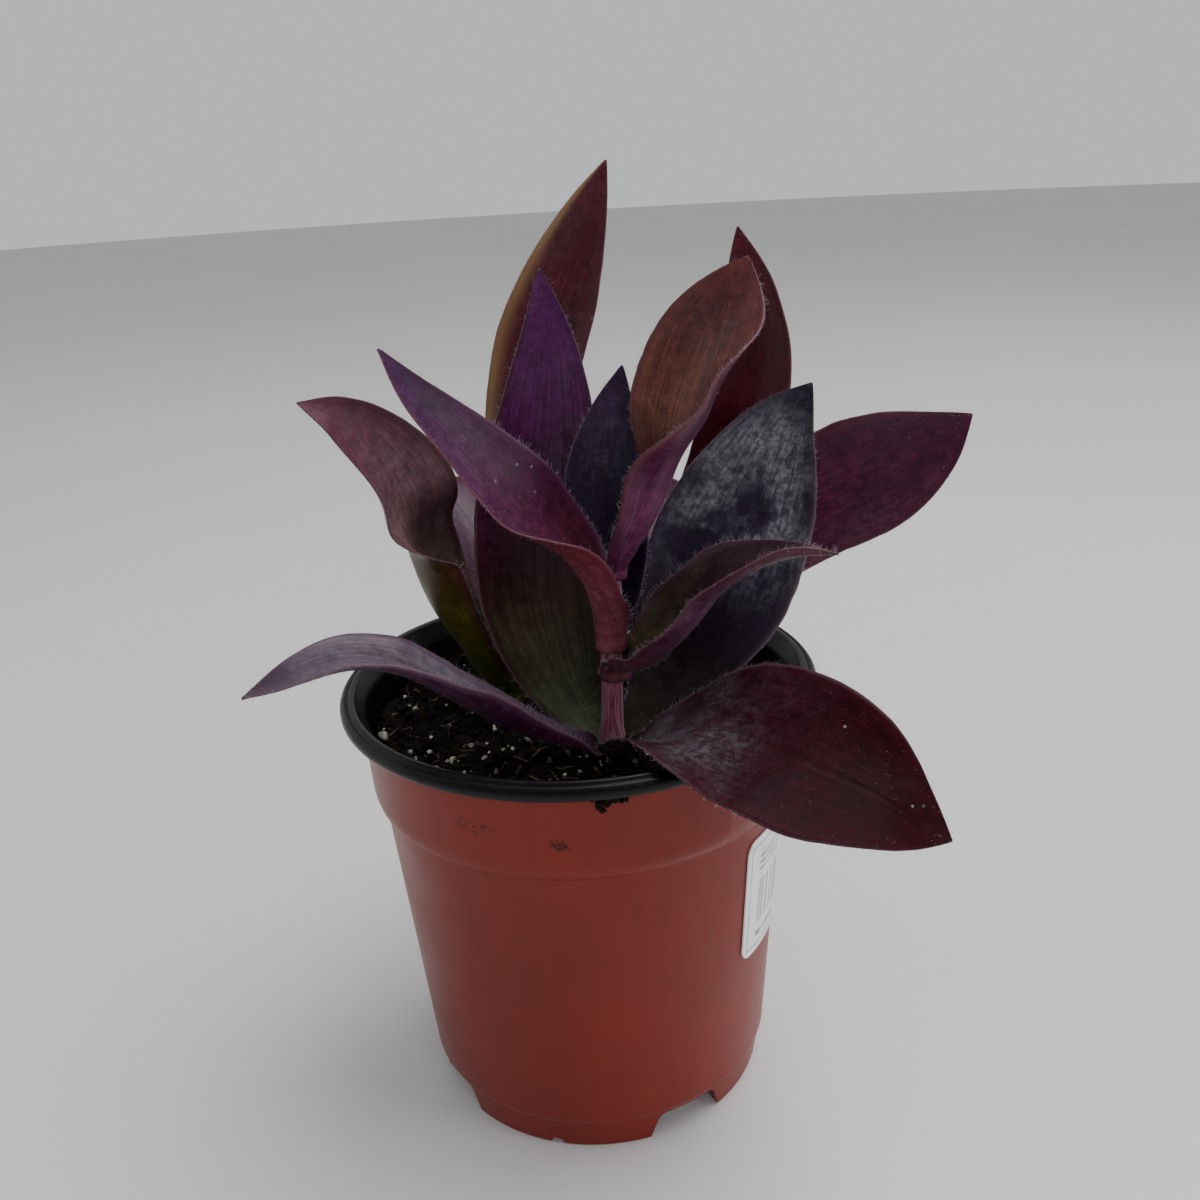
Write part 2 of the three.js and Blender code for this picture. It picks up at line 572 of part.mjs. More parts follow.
function labelGeometry() {
  const middleHeight = (LABEL_TOP + LABEL_BOTTOM) / 2
  const middleAzimuth = degrees((LABEL_FROM_AZIMUTH + LABEL_TO_AZIMUTH) / 2)
  const middleRadius = bodyRadius(middleHeight)
  const halfWidth = (degrees(LABEL_TO_AZIMUTH - LABEL_FROM_AZIMUTH) * middleRadius) / 2
  const halfHeight = (LABEL_TOP - LABEL_BOTTOM) / 2
  const plate = new THREE.BoxGeometry(2, LABEL_THICKNESS, 2, LABEL_COLUMNS, 1, LABEL_ROWS)
  const spots = plate.attributes.position
  for (let spot = 0; spot < spots.count; spot++) {
    // The rows lie closer together towards the rounded corners
    const up = halfHeight * Math.sin((spots.getZ(spot) * Math.PI) / 2)
    const intoCorner = Math.max(0, Math.abs(up) - (halfHeight - LABEL_CORNER))
    const narrowing = LABEL_CORNER - Math.sqrt(LABEL_CORNER ** 2 - intoCorner ** 2)
    const azimuth = middleAzimuth + (spots.getX(spot) * (halfWidth - narrowing)) / middleRadius
    const height = middleHeight + up
    const radius = bodyRadius(height) + GAP + LABEL_THICKNESS / 2 - spots.getY(spot)
    spots.setXYZ(spot, radius * Math.cos(azimuth), radius * Math.sin(azimuth), height)
  }
  return geometryOf(solidOf(plate))
}

const plant = new THREE.Group()
plant.add(piece('pot', potGeometry(), material(0x8c4a3c, 0.45)))
plant.add(piece('soil', soilGeometry(), material(0x241d1a, 0.95)))
plant.add(piece('label', labelGeometry(), material(0xf0f1f2, 0.6)))
for (const [name, stem] of Object.entries(STEMS)) {
  plant.add(piece(name, stemGeometry(stem), material(0x8d4f66, 0.6)))
}
for (const [name, leaf] of Object.entries(LEAVES)) {
  plant.add(piece(name, leafGeometry(leaf), material(leaf.colour, 0.55)))
}

export default plant
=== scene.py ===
"""Dresses a potted tradescantia: fleshy purple leaves on clasping sheaths, in a two-tone nursery pot.

Sizes are in millimetres unless a name says otherwise, and MM turns them into Blender's metres.
"""
import math
import random
from bisect import bisect_right
from typing import NamedTuple

import bmesh
import bpy
from mathutils import Matrix, Quaternion, Vector, noise


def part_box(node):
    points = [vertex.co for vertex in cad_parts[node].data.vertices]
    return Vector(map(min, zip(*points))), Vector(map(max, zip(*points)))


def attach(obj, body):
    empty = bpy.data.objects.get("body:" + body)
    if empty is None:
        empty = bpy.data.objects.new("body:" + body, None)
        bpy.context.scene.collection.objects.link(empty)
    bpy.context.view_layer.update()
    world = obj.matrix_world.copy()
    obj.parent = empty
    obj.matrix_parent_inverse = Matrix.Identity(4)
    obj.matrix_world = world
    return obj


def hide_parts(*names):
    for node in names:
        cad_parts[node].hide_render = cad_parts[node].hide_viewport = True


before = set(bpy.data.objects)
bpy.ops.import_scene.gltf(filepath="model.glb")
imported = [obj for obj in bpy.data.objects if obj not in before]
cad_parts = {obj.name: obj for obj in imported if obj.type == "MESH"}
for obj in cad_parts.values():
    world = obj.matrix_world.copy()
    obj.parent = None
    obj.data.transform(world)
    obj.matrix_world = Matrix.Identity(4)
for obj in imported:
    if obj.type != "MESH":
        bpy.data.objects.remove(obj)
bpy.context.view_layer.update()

bl_info = {
    "name": "Potted tradescantia",
    "version": (1, 0, 0),
    "blender": (4, 5, 0),
    "location": "3D View > Sidebar > Tradescantia",
    "description": "Builds the finished surfaces of a potted purple tradescantia over its packed solids",
    "category": "Object",
}

MM = 0.001

# The pot, from its box and the sizes that its solid was built to
POT_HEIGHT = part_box("pot")[1].z / MM
RIM_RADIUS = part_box("pot")[1].x / MM
RIM_DROP = 3.6
LIP_INNER_RADIUS = RIM_RADIUS - 3.6
COLLAR_TOP_RADIUS = 48.2
COLLAR_FOOT_RADIUS = 47.4
COLLAR_FOOT_HEIGHT = 77.6
LEDGE_HEIGHT = 73.8
LEDGE_STEP = 0.7
BODY_TOP_RADIUS = 45.3
BODY_FOOT_RADIUS = 40.1
BODY_FOOT_HEIGHT = 8.2
FOOT_RADIUS = 38.4
FOOT_WALL = 2.6
PAD_RADIUS = 7
WALL = 1.3
FOOT_LOBES = 4
FIRST_RECESS_AZIMUTH = -62
RECESS_WIDTH = 19
RECESS_TOP_WIDTH = 14
RECESS_HEIGHT = 6.6
RECESS_REACH = 5
RECESS_ROUNDING = 1.6
NOTCH_WIDTH = 4
NOTCH_HEIGHT = 1.6
DRAIN_HOLE_RADIUS = 4
DRAIN_HOLE_DISTANCE = 24
PANEL_FROM_AZIMUTH = -53.5
PANEL_TO_AZIMUTH = 15
PANEL_FOOT_RADIUS = 46
PANEL_TOP_RADIUS = 47.7

# The label on the panel
LABEL_FROM_AZIMUTH = -43
LABEL_TO_AZIMUTH = 8
LABEL_TOP = 69.5
LABEL_BOTTOM = 39
LABEL_CORNER = 3
LABEL_LIFT = 0.45
LABEL_BACK_LIFT = 0.12
LABEL_INK = (0.07, 0.075, 0.08)

# Splashes of soil on the collar: the middle and reach of each, and how much flatter than round they are
SPLASHES = (
    ((-5.6, -48.7, 83.1), 6), ((-1.3, -47.5, 74.8), 5), ((-22.7, -43.4, 85.6), 8), ((3.8, -48.8, 82.9), 4),
    ((30, 41, 88), 9), ((-47, 14, 84), 7),
)
SPLASH_FLATNESS = 2.2

# The soil
SOIL_TOP = 84.6
SOIL_LUMP = 1
SOIL_WAVE = 2.6
SOIL_MOUND = 1.4
SOIL_BANK = 4.2
SOIL_RINGS = 64
SOIL_STEPS = 200

# What is scattered on the soil: how far out, the sizes, the share of bigger ones, how high the lumps lie for
# their size, and how finely they are divided
CRUMBS = (45.2, (0.25, 0.8), 0.1, 0.3, 1)
GRAINS = (44.5, (0.25, 0.75), 0.14, 0.45, 2)
BIG_LUMP = 1.7
FIBRE_REACH = 44

# The clot of soil stuck under the rim
CLOT_LUMPS = 46
CLOT_AZIMUTH = -84.2
CLOT_SPREAD = 2.1
CLOT_DROP = 1.15

# The stems: foot, top, radii and the heights of the nodes
STEMS = {
    "stem_front": {"foot": (5.4, -14.6, 70), "top": (8.35, -13.2, 125),
        "radii": (2.9, 1.9), "nodes": (89, 105)},
    "stem_left": {"foot": (-16.6, 14.5, 70), "top": (-14.8, 18, 112),
        "radii": (2.8, 2.3), "nodes": (90.5, 101)},
    "stem_right": {"foot": (26, 13, 70), "top": (25, 17.3, 111), "radii": (2.8, 2.2), "nodes": (89, 95)},
}
STEM_RINGS = 150

# How far a stem bulges at a node, and in the ring round it, and over what height
NODE_BULGES = ((0.3, 1.6), (0.14, 0.28))

# The leaves: faces along and across the blade, its thickness, the share in which the sheath opens, the waves
# of the margins, how finely the midrib is measured, where the blade's three colours stand, and the bloom,
# which on leaf_front_right is painted sheen
ALONG = 132
ACROSS = 32
BLADE_THICKNESS = 0.8
MARGIN_THICKNESS = 0.34
TIP_HALF_WIDTH = 0.16
OPENING_SHARE = 0.16
RIPPLES = 17
MIDRIB_DIVISIONS = 400
TANGENT_STEP = 0.0001
COLOUR_STATIONS = (0.1, 0.45, 0.88)
BLOOM_AND_SHEEN_COLOUR = (0.33, 0.34, 0.38)

# The camera stands where the photograph was taken from
CAMERA_PLACE = (0, -244.4, 207.4)
CAMERA_YAW = 1.36
CAMERA_PITCH = 20.81
CAMERA_ROLL = -3.28
FOCAL_PIXELS = 1201
IMAGE_PIXELS = 1200

# Where the lights look, in metres
LIT_PLACE = (0, 0, 0.1)


class Leaf(NamedTuple):
    """A leaf as its solid was built"""
    stem: str
    sheath: tuple  # where it starts, its length, inner radius, azimuth and half wrap
    path: list  # the midrib from throat to tip
    opening: list  # where the inner face looks: up to the turn, after it and at the tip
    half_width: float
    widest: float  # the share of the blade at which it is widest
    taper: float
    fold: tuple  # half the trough's arc in degrees: up to the turn, after it and at the tip
    wave: float
    turn: tuple = (0.25, 0.55)  # the shares between which the leaf goes from the first to the second


class Look(NamedTuple):
    """How a leaf is coloured, in linear light"""
    inner: list  # the inner face at the base, the middle and the tip
    outer: list
    low: tuple  # the margins on the two sides of the midrib; on leaf_tallest and leaf_left_long the low one is painted light shining through the blade
    high: tuple
    dust: float  # how much pale bloom lies on the inner face; on leaf_front_right it is painted sheen
    lines: float = 0.6
    spots: float = 0.4
    shine: float = 0.3
    edge: float = 0.1  # how far the low margin reaches in
    zone: tuple = (0.42, 0.64, 0.82, 0.97)  # where the bloom starts, is thickest, thins and ends; on leaf_front_right it marks where painted sheen lies


LEAVES = {
    "leaf_front_left": Leaf(
        "stem_front", (83.5, 3, 3.4, 195, 39), [(-1, -18, 89), (-9, -20, 92.5), (-17, -22, 98),
        (-26, -25, 106), (-35, -28, 113.5), (-44, -31, 117), (-53, -34, 116.5), (-63.5, -37, 113.5)],
        [(0.4, 0.3, 1), (0.1, 0.1, 1), (-0.1, -0.2, 1)], 11.5, 0.5, 2, (70, 42, 18), 0.5),
    "leaf_front_right": Leaf(
        "stem_front", (82.8, 3, 3.4, 290, 53), [(8.7, -22, 89.6), (15, -30, 96), (23.5, -38, 100.6),
        (34, -47, 101.6), (44, -55, 99.5), (54, -61, 95.5), (64, -64, 89)],
        [(-0.2, 0.15, 1), (-0.1, -0.5, 0.85), (0.2, -0.6, 0.8)], 17.3, 0.56, 2.3, (42, 20, 10), 0.8),
    "leaf_back_left_tall": Leaf(
        "stem_front", (83.5, 3, 3.4, 116, 38), [(-1, -7, 94), (-5, -3, 104), (-7.5, 1, 118), (-6, 4, 136.5),
        (-3.5, 7, 153.5), (-2, 9, 169), (-2.5, 11, 184)],
        [(0.2, -0.9, 0.1), (0.1, -1, 0.1), (0.1, -1, 0.2)], 14.5, 0.38, 2, (45, 26, 20), 0.4),
    "leaf_right_dusty": Leaf(
        "stem_front", (83.5, 3, 3.4, 38, 38), [(16, -9, 92), (23.5, -6, 100), (29.5, -3, 111),
        (34.5, 0, 124), (40, 2, 136.5), (46, 3, 149), (52.5, 3, 158.5)],
        [(-0.5, -0.7, 0.3), (-0.3, -0.9, 0.3), (-0.3, -0.9, 0.2)], 17.5, 0.48, 2.2, (50, 28, 16), 0.4),
    "leaf_small_right": Leaf(
        "stem_front", (102.5, 2.5, 3.2, 322, 102), [(12, -18, 107), (18, -21.5, 111.5), (24, -25, 119.5),
        (29, -29, 127.5), (35.5, -33, 132.5), (42.5, -36, 135), (49, -38, 135)],
        [(-0.8, 0, 0.6), (-0.7, -0.2, 0.8), (0, 0.2, 1)], 12, 0.32, 1.15, (80, 74, 66), 0.8),
    "leaf_left_long": Leaf(
        "stem_front", (109, 3, 2.8, 195, 145), [(4.3, -15.3, 119), (2.3, -16.4, 126), (-1.5, -18.3, 132.5),
        (-7, -21, 139.5), (-14, -24, 149), (-21, -27, 159), (-27, -30, 168.5), (-31, -32, 176)],
        [(0.9, 0.05, 0.4), (0.5, -0.6, 0.6), (0.4, -0.7, 0.6)], 12, 0.36, 1.55, (75, 52, 34), 0.4),
    "leaf_top": Leaf(
        "stem_front", (124.3, 2.3, 2.3, 335, 100), [(12.5, -15.5, 130.5), (17, -16, 138), (22, -15, 149),
        (27, -12, 161), (32.5, -8, 173.5), (38, -5, 185.5)],
        [(-1, 0.35, 0.3), (-0.85, -0.5, 0.4), (-0.3, -0.9, 0.2)], 14.6, 0.6, 2, (85, 62, 26), 0.3),
    "leaf_top_young": Leaf(
        "stem_front", (107, 1.2, 3.3, 105, 38), [(7.6, -8, 111.5), (9, -6, 118), (9, -4.5, 127),
        (8, -2.5, 136), (8.5, -1.5, 145), (10.5, -0.5, 155), (13, 0, 165)],
        [(0, -1, 0.2), (0.1, -1, 0.1), (0, -1, 0.2)], 9.5, 0.62, 1.35, (50, 45, 35), 0.2),
    "leaf_left_broad": Leaf(
        "stem_left", (84, 4, 3.2, 220, 105), [(-21.5, 10.5, 93.5), (-25.3, 9, 102), (-31, 7, 114),
        (-34, 4, 127), (-35, 1, 140), (-39, -2, 151), (-44.5, -5, 158.5), (-51.5, -8, 163)],
        [(1, 0.12, 0.1), (0.5, -0.55, 0.65), (0.1, -0.7, 0.7)], 15.5, 0.46, 2, (86, 56, 20), 1.1,
        (0.48, 0.66)),
    "leaf_tallest": Leaf(
        "stem_left", (104, 5, 2.9, 45, 120), [(-11.5, 22, 115), (-10.5, 25, 124), (-9, 26, 138),
        (-6, 26, 155), (-0.5, 26, 173), (6, 26, 188.5), (13, 26, 204)],
        [(-0.3, -0.9, 0.1), (-0.2, -1, 0.1), (-0.1, -1, 0.1)], 10.8, 0.55, 2, (65, 40, 28), 0.3),
    "leaf_back_left": Leaf(
        "stem_left", (95.5, 3, 3, 85, 78), [(-15.5, 24, 104), (-18.5, 31, 113.5), (-24, 39, 123),
        (-30, 46, 129), (-36, 53, 130)], [(0.3, -0.6, 0.8), (0.3, -0.4, 1), (0.2, -0.2, 1)], 12, 0.46, 2,
        (65, 42, 28), 0.4),
    "leaf_right_broad": Leaf(
        "stem_right", (84, 4, 3.2, 322, 90), [(30.2, 9.7, 93.5), (35, 9.5, 105), (41.5, 10, 118),
        (50, 9.5, 128), (60, 8, 134), (69, 6, 138.5), (78.5, 5, 143.5), (87, 4, 149.5)],
        [(-0.6, -0.2, 0.6), (-0.2, -0.9, 0.4), (0, -0.9, 0.4)], 13.5, 0.68, 2, (55, 24, 18), 0.4),
    "leaf_right_upright": Leaf(
        "stem_right", (105.2, 3.8, 3, 52, 115), [(29.2, 24, 116), (34, 27.5, 125), (39.6, 27.5, 137),
        (43.5, 24, 150), (44.5, 24, 163), (43.5, 24, 176), (40.5, 24, 189)],
        [(-0.6, -0.8, 0.2), (-0.6, -0.8, 0.1), (-0.5, -0.8, 0)], 11.5, 0.55, 2, (65, 46, 32), 0.3),
    "leaf_back_right": Leaf(
        "stem_right", (96.2, 3, 3.1, 125, 82), [(23, 23.6, 104), (23, 31, 113), (22, 40, 121.5),
        (19.5, 48, 126), (16, 55, 125.5)], [(0.1, -0.7, 0.8), (0, -0.4, 1), (0, -0.1, 1)], 12, 0.46, 2,
        (65, 42, 28), 0.4),
}

LEAF_LOOKS = {
    # The pale grey middle of the inner face is a painted reflection of the sky on the top of the arched blade
    "leaf_front_left": Look(
        [(0.065, 0.03, 0.055), (0.15, 0.13, 0.155), (0.07, 0.042, 0.068)],
        [(0.07, 0.01, 0.045), (0.05, 0.012, 0.038), (0.05, 0.016, 0.045)], (0.13, 0.06, 0.1),
        (0.1, 0.05, 0.09), 0.4, lines=1.0),
    # The bloom on this leaf, in its zone near the base, is painted sheen standing in for streaks of light on
    # the glossy blade
    "leaf_front_right": Look(
        [(0.026, 0.009, 0.017), (0.027, 0.005, 0.01), (0.022, 0.0015, 0.004)],
        [(0.04, 0.008, 0.016), (0.038, 0.006, 0.014), (0.04, 0.006, 0.012)], (0.035, 0.004, 0.009),
        (0.035, 0.004, 0.009), 0.36, lines=0.7, spots=0.8, shine=0.04, zone=(0.1, 0.26, 0.42, 0.62)),
    # The dark middle of the inner face is the leaf's own dark colour deepened by painted shade from the leaves
    # in front
    "leaf_back_left_tall": Look(
        [(0.042, 0.055, 0.024), (0.034, 0.005, 0.016), (0.072, 0.007, 0.074)],
        [(0.045, 0.022, 0.015), (0.04, 0.007, 0.018), (0.055, 0.009, 0.05)], (0.03, 0.004, 0.007),
        (0.05, 0.01, 0.04), 0.08, lines=1.0),
    "leaf_right_dusty": Look(
        [(0.016, 0.013, 0.007), (0.014, 0.006, 0.02), (0.02, 0.015, 0.03)],
        [(0.04, 0.014, 0.02), (0.032, 0.007, 0.026), (0.024, 0.009, 0.028)], (0.026, 0.012, 0.03),
        (0.05, 0.032, 0.045), 0.9),
    "leaf_small_right": Look(
        [(0.07, 0.055, 0.025), (0.045, 0.027, 0.022), (0.055, 0.02, 0.03)],
        [(0.1, 0.03, 0.042), (0.065, 0.02, 0.05), (0.085, 0.03, 0.042)], (0.09, 0.032, 0.055),
        (0.06, 0.012, 0.02), 0.08),
    # The bright pink base of the outer face and the pink low margin are painted light shining through the blade
    "leaf_left_long": Look(
        [(0.06, 0.01, 0.018), (0.062, 0.01, 0.036), (0.05, 0.009, 0.052)],
        [(0.19, 0.05, 0.07), (0.1, 0.01, 0.022), (0.06, 0.012, 0.05)], (0.12, 0.013, 0.03),
        (0.08, 0.018, 0.06), 0.1, lines=0.7, spots=0.6),
    "leaf_top": Look(
        [(0.12, 0.042, 0.032), (0.135, 0.052, 0.034), (0.105, 0.028, 0.026)],
        [(0.13, 0.026, 0.085), (0.075, 0.009, 0.042), (0.065, 0.01, 0.028)], (0.12, 0.035, 0.035),
        (0.13, 0.035, 0.045), 0.08, lines=0.85),
    # The near-black inner base and middle are the leaf's own dark purple deepened by painted shade where it
    # stands behind leaf_top
    "leaf_top_young": Look(
        [(0.008, 0.004, 0.014), (0.009, 0.004, 0.018), (0.034, 0.014, 0.05)],
        [(0.02, 0.007, 0.026), (0.02, 0.007, 0.026), (0.03, 0.01, 0.04)], (0.03, 0.01, 0.04),
        (0.03, 0.012, 0.045), 0.1, shine=0.2),
    "leaf_left_broad": Look(
        [(0.06, 0.055, 0.012), (0.155, 0.1, 0.098), (0.08, 0.018, 0.036)],
        [(0.05, 0.065, 0.006), (0.055, 0.036, 0.006), (0.07, 0.016, 0.028)], (0.08, 0.012, 0.022),
        (0.07, 0.02, 0.03), 0.16, spots=0.7),
    # The wide tan low margin is painted light shining through the thin blade
    "leaf_tallest": Look(
        [(0.08, 0.032, 0.025), (0.095, 0.022, 0.026), (0.074, 0.01, 0.018)],
        [(0.06, 0.018, 0.022), (0.07, 0.014, 0.022), (0.07, 0.012, 0.022)], (0.3, 0.18, 0.08),
        (0.08, 0.012, 0.02), 0.06, lines=0.75, edge=0.2),
    "leaf_back_left": Look(
        [(0.04, 0.036, 0.014), (0.055, 0.014, 0.036), (0.06, 0.01, 0.042)],
        [(0.055, 0.016, 0.03), (0.065, 0.012, 0.046), (0.06, 0.01, 0.042)], (0.08, 0.014, 0.05),
        (0.08, 0.014, 0.05), 0.12),
    "leaf_right_broad": Look(
        [(0.06, 0.018, 0.026), (0.068, 0.011, 0.032), (0.052, 0.006, 0.028)],
        [(0.05, 0.009, 0.022), (0.062, 0.009, 0.03), (0.06, 0.008, 0.03)], (0.08, 0.014, 0.026),
        (0.05, 0.006, 0.016), 0.07),
    "leaf_right_upright": Look(
        [(0.15, 0.04, 0.07), (0.11, 0.013, 0.028), (0.09, 0.008, 0.018)],
        [(0.06, 0.01, 0.028), (0.08, 0.01, 0.026), (0.08, 0.009, 0.02)], (0.09, 0.012, 0.024),
        (0.1, 0.014, 0.022), 0.05),
    "leaf_back_right": Look(
        [(0.045, 0.034, 0.014), (0.06, 0.013, 0.034), (0.06, 0.01, 0.036)],
        [(0.055, 0.014, 0.03), (0.068, 0.013, 0.042), (0.064, 0.011, 0.036)], (0.085, 0.016, 0.045),
        (0.085, 0.016, 0.045), 0.14),
}


def colour_setting(name, description, default):
    """A colour that can be changed in the sidebar"""
    return bpy.props.FloatVectorProperty(
        name=name, description=description, subtype="COLOR", size=4, default=(*default, 1))


def count_setting(name, description, default, least=0):
    """A whole number that can be changed in the sidebar"""
    return bpy.props.IntProperty(name=name, description=description, default=default, min=least)


def amount_setting(name, description, default, subtype, unit):
    """A length or a strength that can be changed in the sidebar"""
    return bpy.props.FloatProperty(
        name=name, description=description, subtype=subtype, unit=unit, default=default)


class PotSettings(bpy.types.PropertyGroup):
    """The nursery pot's colours and roundness"""
    steps: count_setting("Steps round", "How many faces go round the pot", 192, 48)
    clay: colour_setting("Outside colour", "The terracotta outside", (0.18, 0.0125, 0.006))
    black: colour_setting("Inside colour", "The black inside and rim", (0.0022, 0.0022, 0.0024))
    label: colour_setting("Label colour", "The blank label's paper", (0.94, 0.96, 0.98))


class SoilSettings(bpy.types.PropertyGroup):
    """The potting mix and what lies on it"""
    colour: colour_setting("Soil colour", "The damp potting mix", (0.0045, 0.0028, 0.002))
    crumbs: count_setting("Crumbs", "How many loose crumbs lie on the soil", 1500)
    grains: count_setting("White grains", "How many white grains lie on the soil", 210)
    fibres: count_setting("Fibres", "How many bits of bark and fibre lie on the soil", 240)


class PlantSettings(bpy.types.PropertyGroup):
    """The leaves, the stems and their hairs"""
    hairs: count_setting("Hairs on a leaf", "How many fine hairs stand on each leaf", 900)
    hair_length: amount_setting(
        "Hair length", "How long the longest hairs are", 1.7 * MM, "DISTANCE", "LENGTH")
    hair_radius: amount_setting(
        "Hair radius", "How thick a hair is at its root", 0.024 * MM, "DISTANCE", "LENGTH")
    stem: colour_setting("Stem colour", "The stems between their nodes", (0.2, 0.055, 0.095))


class StageSettings(bpy.types.PropertyGroup):
    """The floor and the lights"""
    floor: colour_setting("Floor colour", "The plain pale floor", (0.72, 0.715, 0.71))
    key_power: amount_setting("Key light", "Strength of the large soft light", 12, "POWER", "POWER")
    fill_power: amount_setting("Fill light", "Strength of the fill light", 1.2, "POWER", "POWER")


def lerp(start, end, share):
    """The value at a share of the way from start to end"""
    return start + (end - start) * share


def smooth(value, low, high):
    """A soft step from 0 at low to 1 at high"""
    share = min(1, max(0, (value - low) / (high - low)))
    return share * share * (3 - 2 * share)


def polar(radius, azimuth, height):
    """A point at a radius and an azimuth in degrees, in metres"""
    angle = math.radians(azimuth)
    return Vector((radius * math.cos(angle), radius * math.sin(angle), height)) * MM


def body_radius(height):
    """The outside radius of the pot's tapered body at a height"""
    share = (height - BODY_FOOT_HEIGHT) / (LEDGE_HEIGHT - BODY_FOOT_HEIGHT)
    return lerp(BODY_FOOT_RADIUS, BODY_TOP_RADIUS, share)


def filleted(corners, steps=4):
    """A profile whose corners (radius, height, fillet) are rounded as far as the fillet along both sides"""
    points = []
    for index, (radius, height, fillet) in enumerate(corners):
        corner = Vector((radius, height))
        if not fillet or index in (0, len(corners) - 1):
            points.append(corner)
            continue
        before, after = [Vector(corners[other][:2]) - corner for other in (index - 1, index + 1)]
        start, end = [side.normalized() * min(fillet, side.length * 0.48) for side in (before, after)]
        for step in range(steps + 1):
            share = step / steps
            points.append(corner + start * (1 - share) ** 2 + end * share ** 2)
    return points


def face_out(bm):
    """Turns all faces outwards"""
    bmesh.ops.recalc_face_normals(bm, faces=bm.faces[:])


def swept(points, angle, steps, closed=False):
    """A bmesh made by spinning a line of points round the z axis"""
    bm = bmesh.new()
    spots = [bm.verts.new(point) for point in points]
    for start, end in zip(spots, spots[1:] + spots[:1] if closed else spots[1:]):
        bm.edges.new((start, end))
    bmesh.ops.spin(bm, geom=bm.verts[:] + bm.edges[:], cent=(0, 0, 0), axis=(0, 0, 1), angle=angle,
                   steps=steps, use_merge=not closed)
    return bm


def turned(profile, steps):
    """A closed form made by spinning a profile of (radius, height)"""
    bm = swept([(radius * MM, 0, height * MM) for radius, height in profile], 2 * math.pi, steps)
    bmesh.ops.remove_doubles(bm, verts=bm.verts[:], dist=0.0005 * MM)
    face_out(bm)
    return bm


def plate(columns, rows, side_layer, place, mark):
    """Two grids, joined round their rims

    place says where a point of the grid from -1 to 1 goes on side 0 or 1, and mark gives its blade coordinates.
    """
    bm = bmesh.new()
    uv_layer = bm.loops.layers.uv.new("Blade")
    side = bm.verts.layers.float.new(side_layer)
    bmesh.ops.create_grid(bm, x_segments=columns, y_segments=rows, size=1)
    grid_place = bm.verts.layers.float_vector.new("grid_place")
    for vert in bm.verts:
        vert[grid_place] = vert.co
    for item in bmesh.ops.duplicate(bm, geom=bm.verts[:] + bm.edges[:] + bm.faces[:])["geom"]:
        if isinstance(item, bmesh.types.BMVert):
            item[side] = 1
    rims = [edge for edge in bm.edges if edge.is_boundary]
    for vert in bm.verts:
        vert.co = place(vert[grid_place], vert[side])
    bmesh.ops.bridge_loops(bm, edges=rims)
    for face in bm.faces:
        for loop in face.loops:
            loop[uv_layer].uv = mark(loop.vert[grid_place])
    face_out(bm)
    bm.verts.layers.float_vector.remove(grid_place)
    return bm


def cone(bm, sides, radius, tip_radius, length, matrix):
    """Adds a closed cone, in metres"""
    bmesh.ops.create_cone(
        bm, cap_ends=True, segments=sides, radius1=radius, radius2=tip_radius, depth=length, matrix=matrix)


def standing(place, way):
    """A matrix that stands a form at a place, in metres, with its z axis along a direction"""
    return Matrix.Translation(place) @ Vector((0, 0, 1)).rotation_difference(way).to_matrix().to_4x4()


def finished(name, bm, materials, smooth_angle=None):
    """Turns a bmesh into a named object at the origin, with its materials, shaded smooth"""
    mesh = bpy.data.meshes.new(name)
    bm.to_mesh(mesh)
    bm.free()
    for material in materials:
        mesh.materials.append(material)
    mesh.shade_smooth()
    if smooth_angle is not None:
        mesh.set_sharp_from_angle(angle=math.radians(smooth_angle))
    piece = bpy.data.objects.new(name, mesh)
    bpy.context.scene.collection.objects.link(piece)
    return piece


def dressed(piece, slot_name, *nodes):
    """Puts a piece on the root body and in place of its nodes; slot_name is not used"""
    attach(piece, "root")
    if nodes:
        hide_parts(*nodes)
    return piece


def feed(socket, value):
    """Links a socket to another node's output, or sets its value"""
    if isinstance(value, Tone):
        socket.id_data.links.new(value.socket, socket)
    elif socket.type == "RGBA":
        socket.default_value = (*value, 1)
    else:
        socket.default_value = value


def add_node(tree, kind, output, inputs=(), **settings):
    """Adds a shader node, and gives one of its outputs"""
    node = tree.nodes.new("ShaderNode" + kind)
    for name, value in settings.items():
        setattr(node, name, value)
    for place, value in dict(inputs).items():
        feed(node.inputs[place], value)
    return Tone(node.outputs[output])


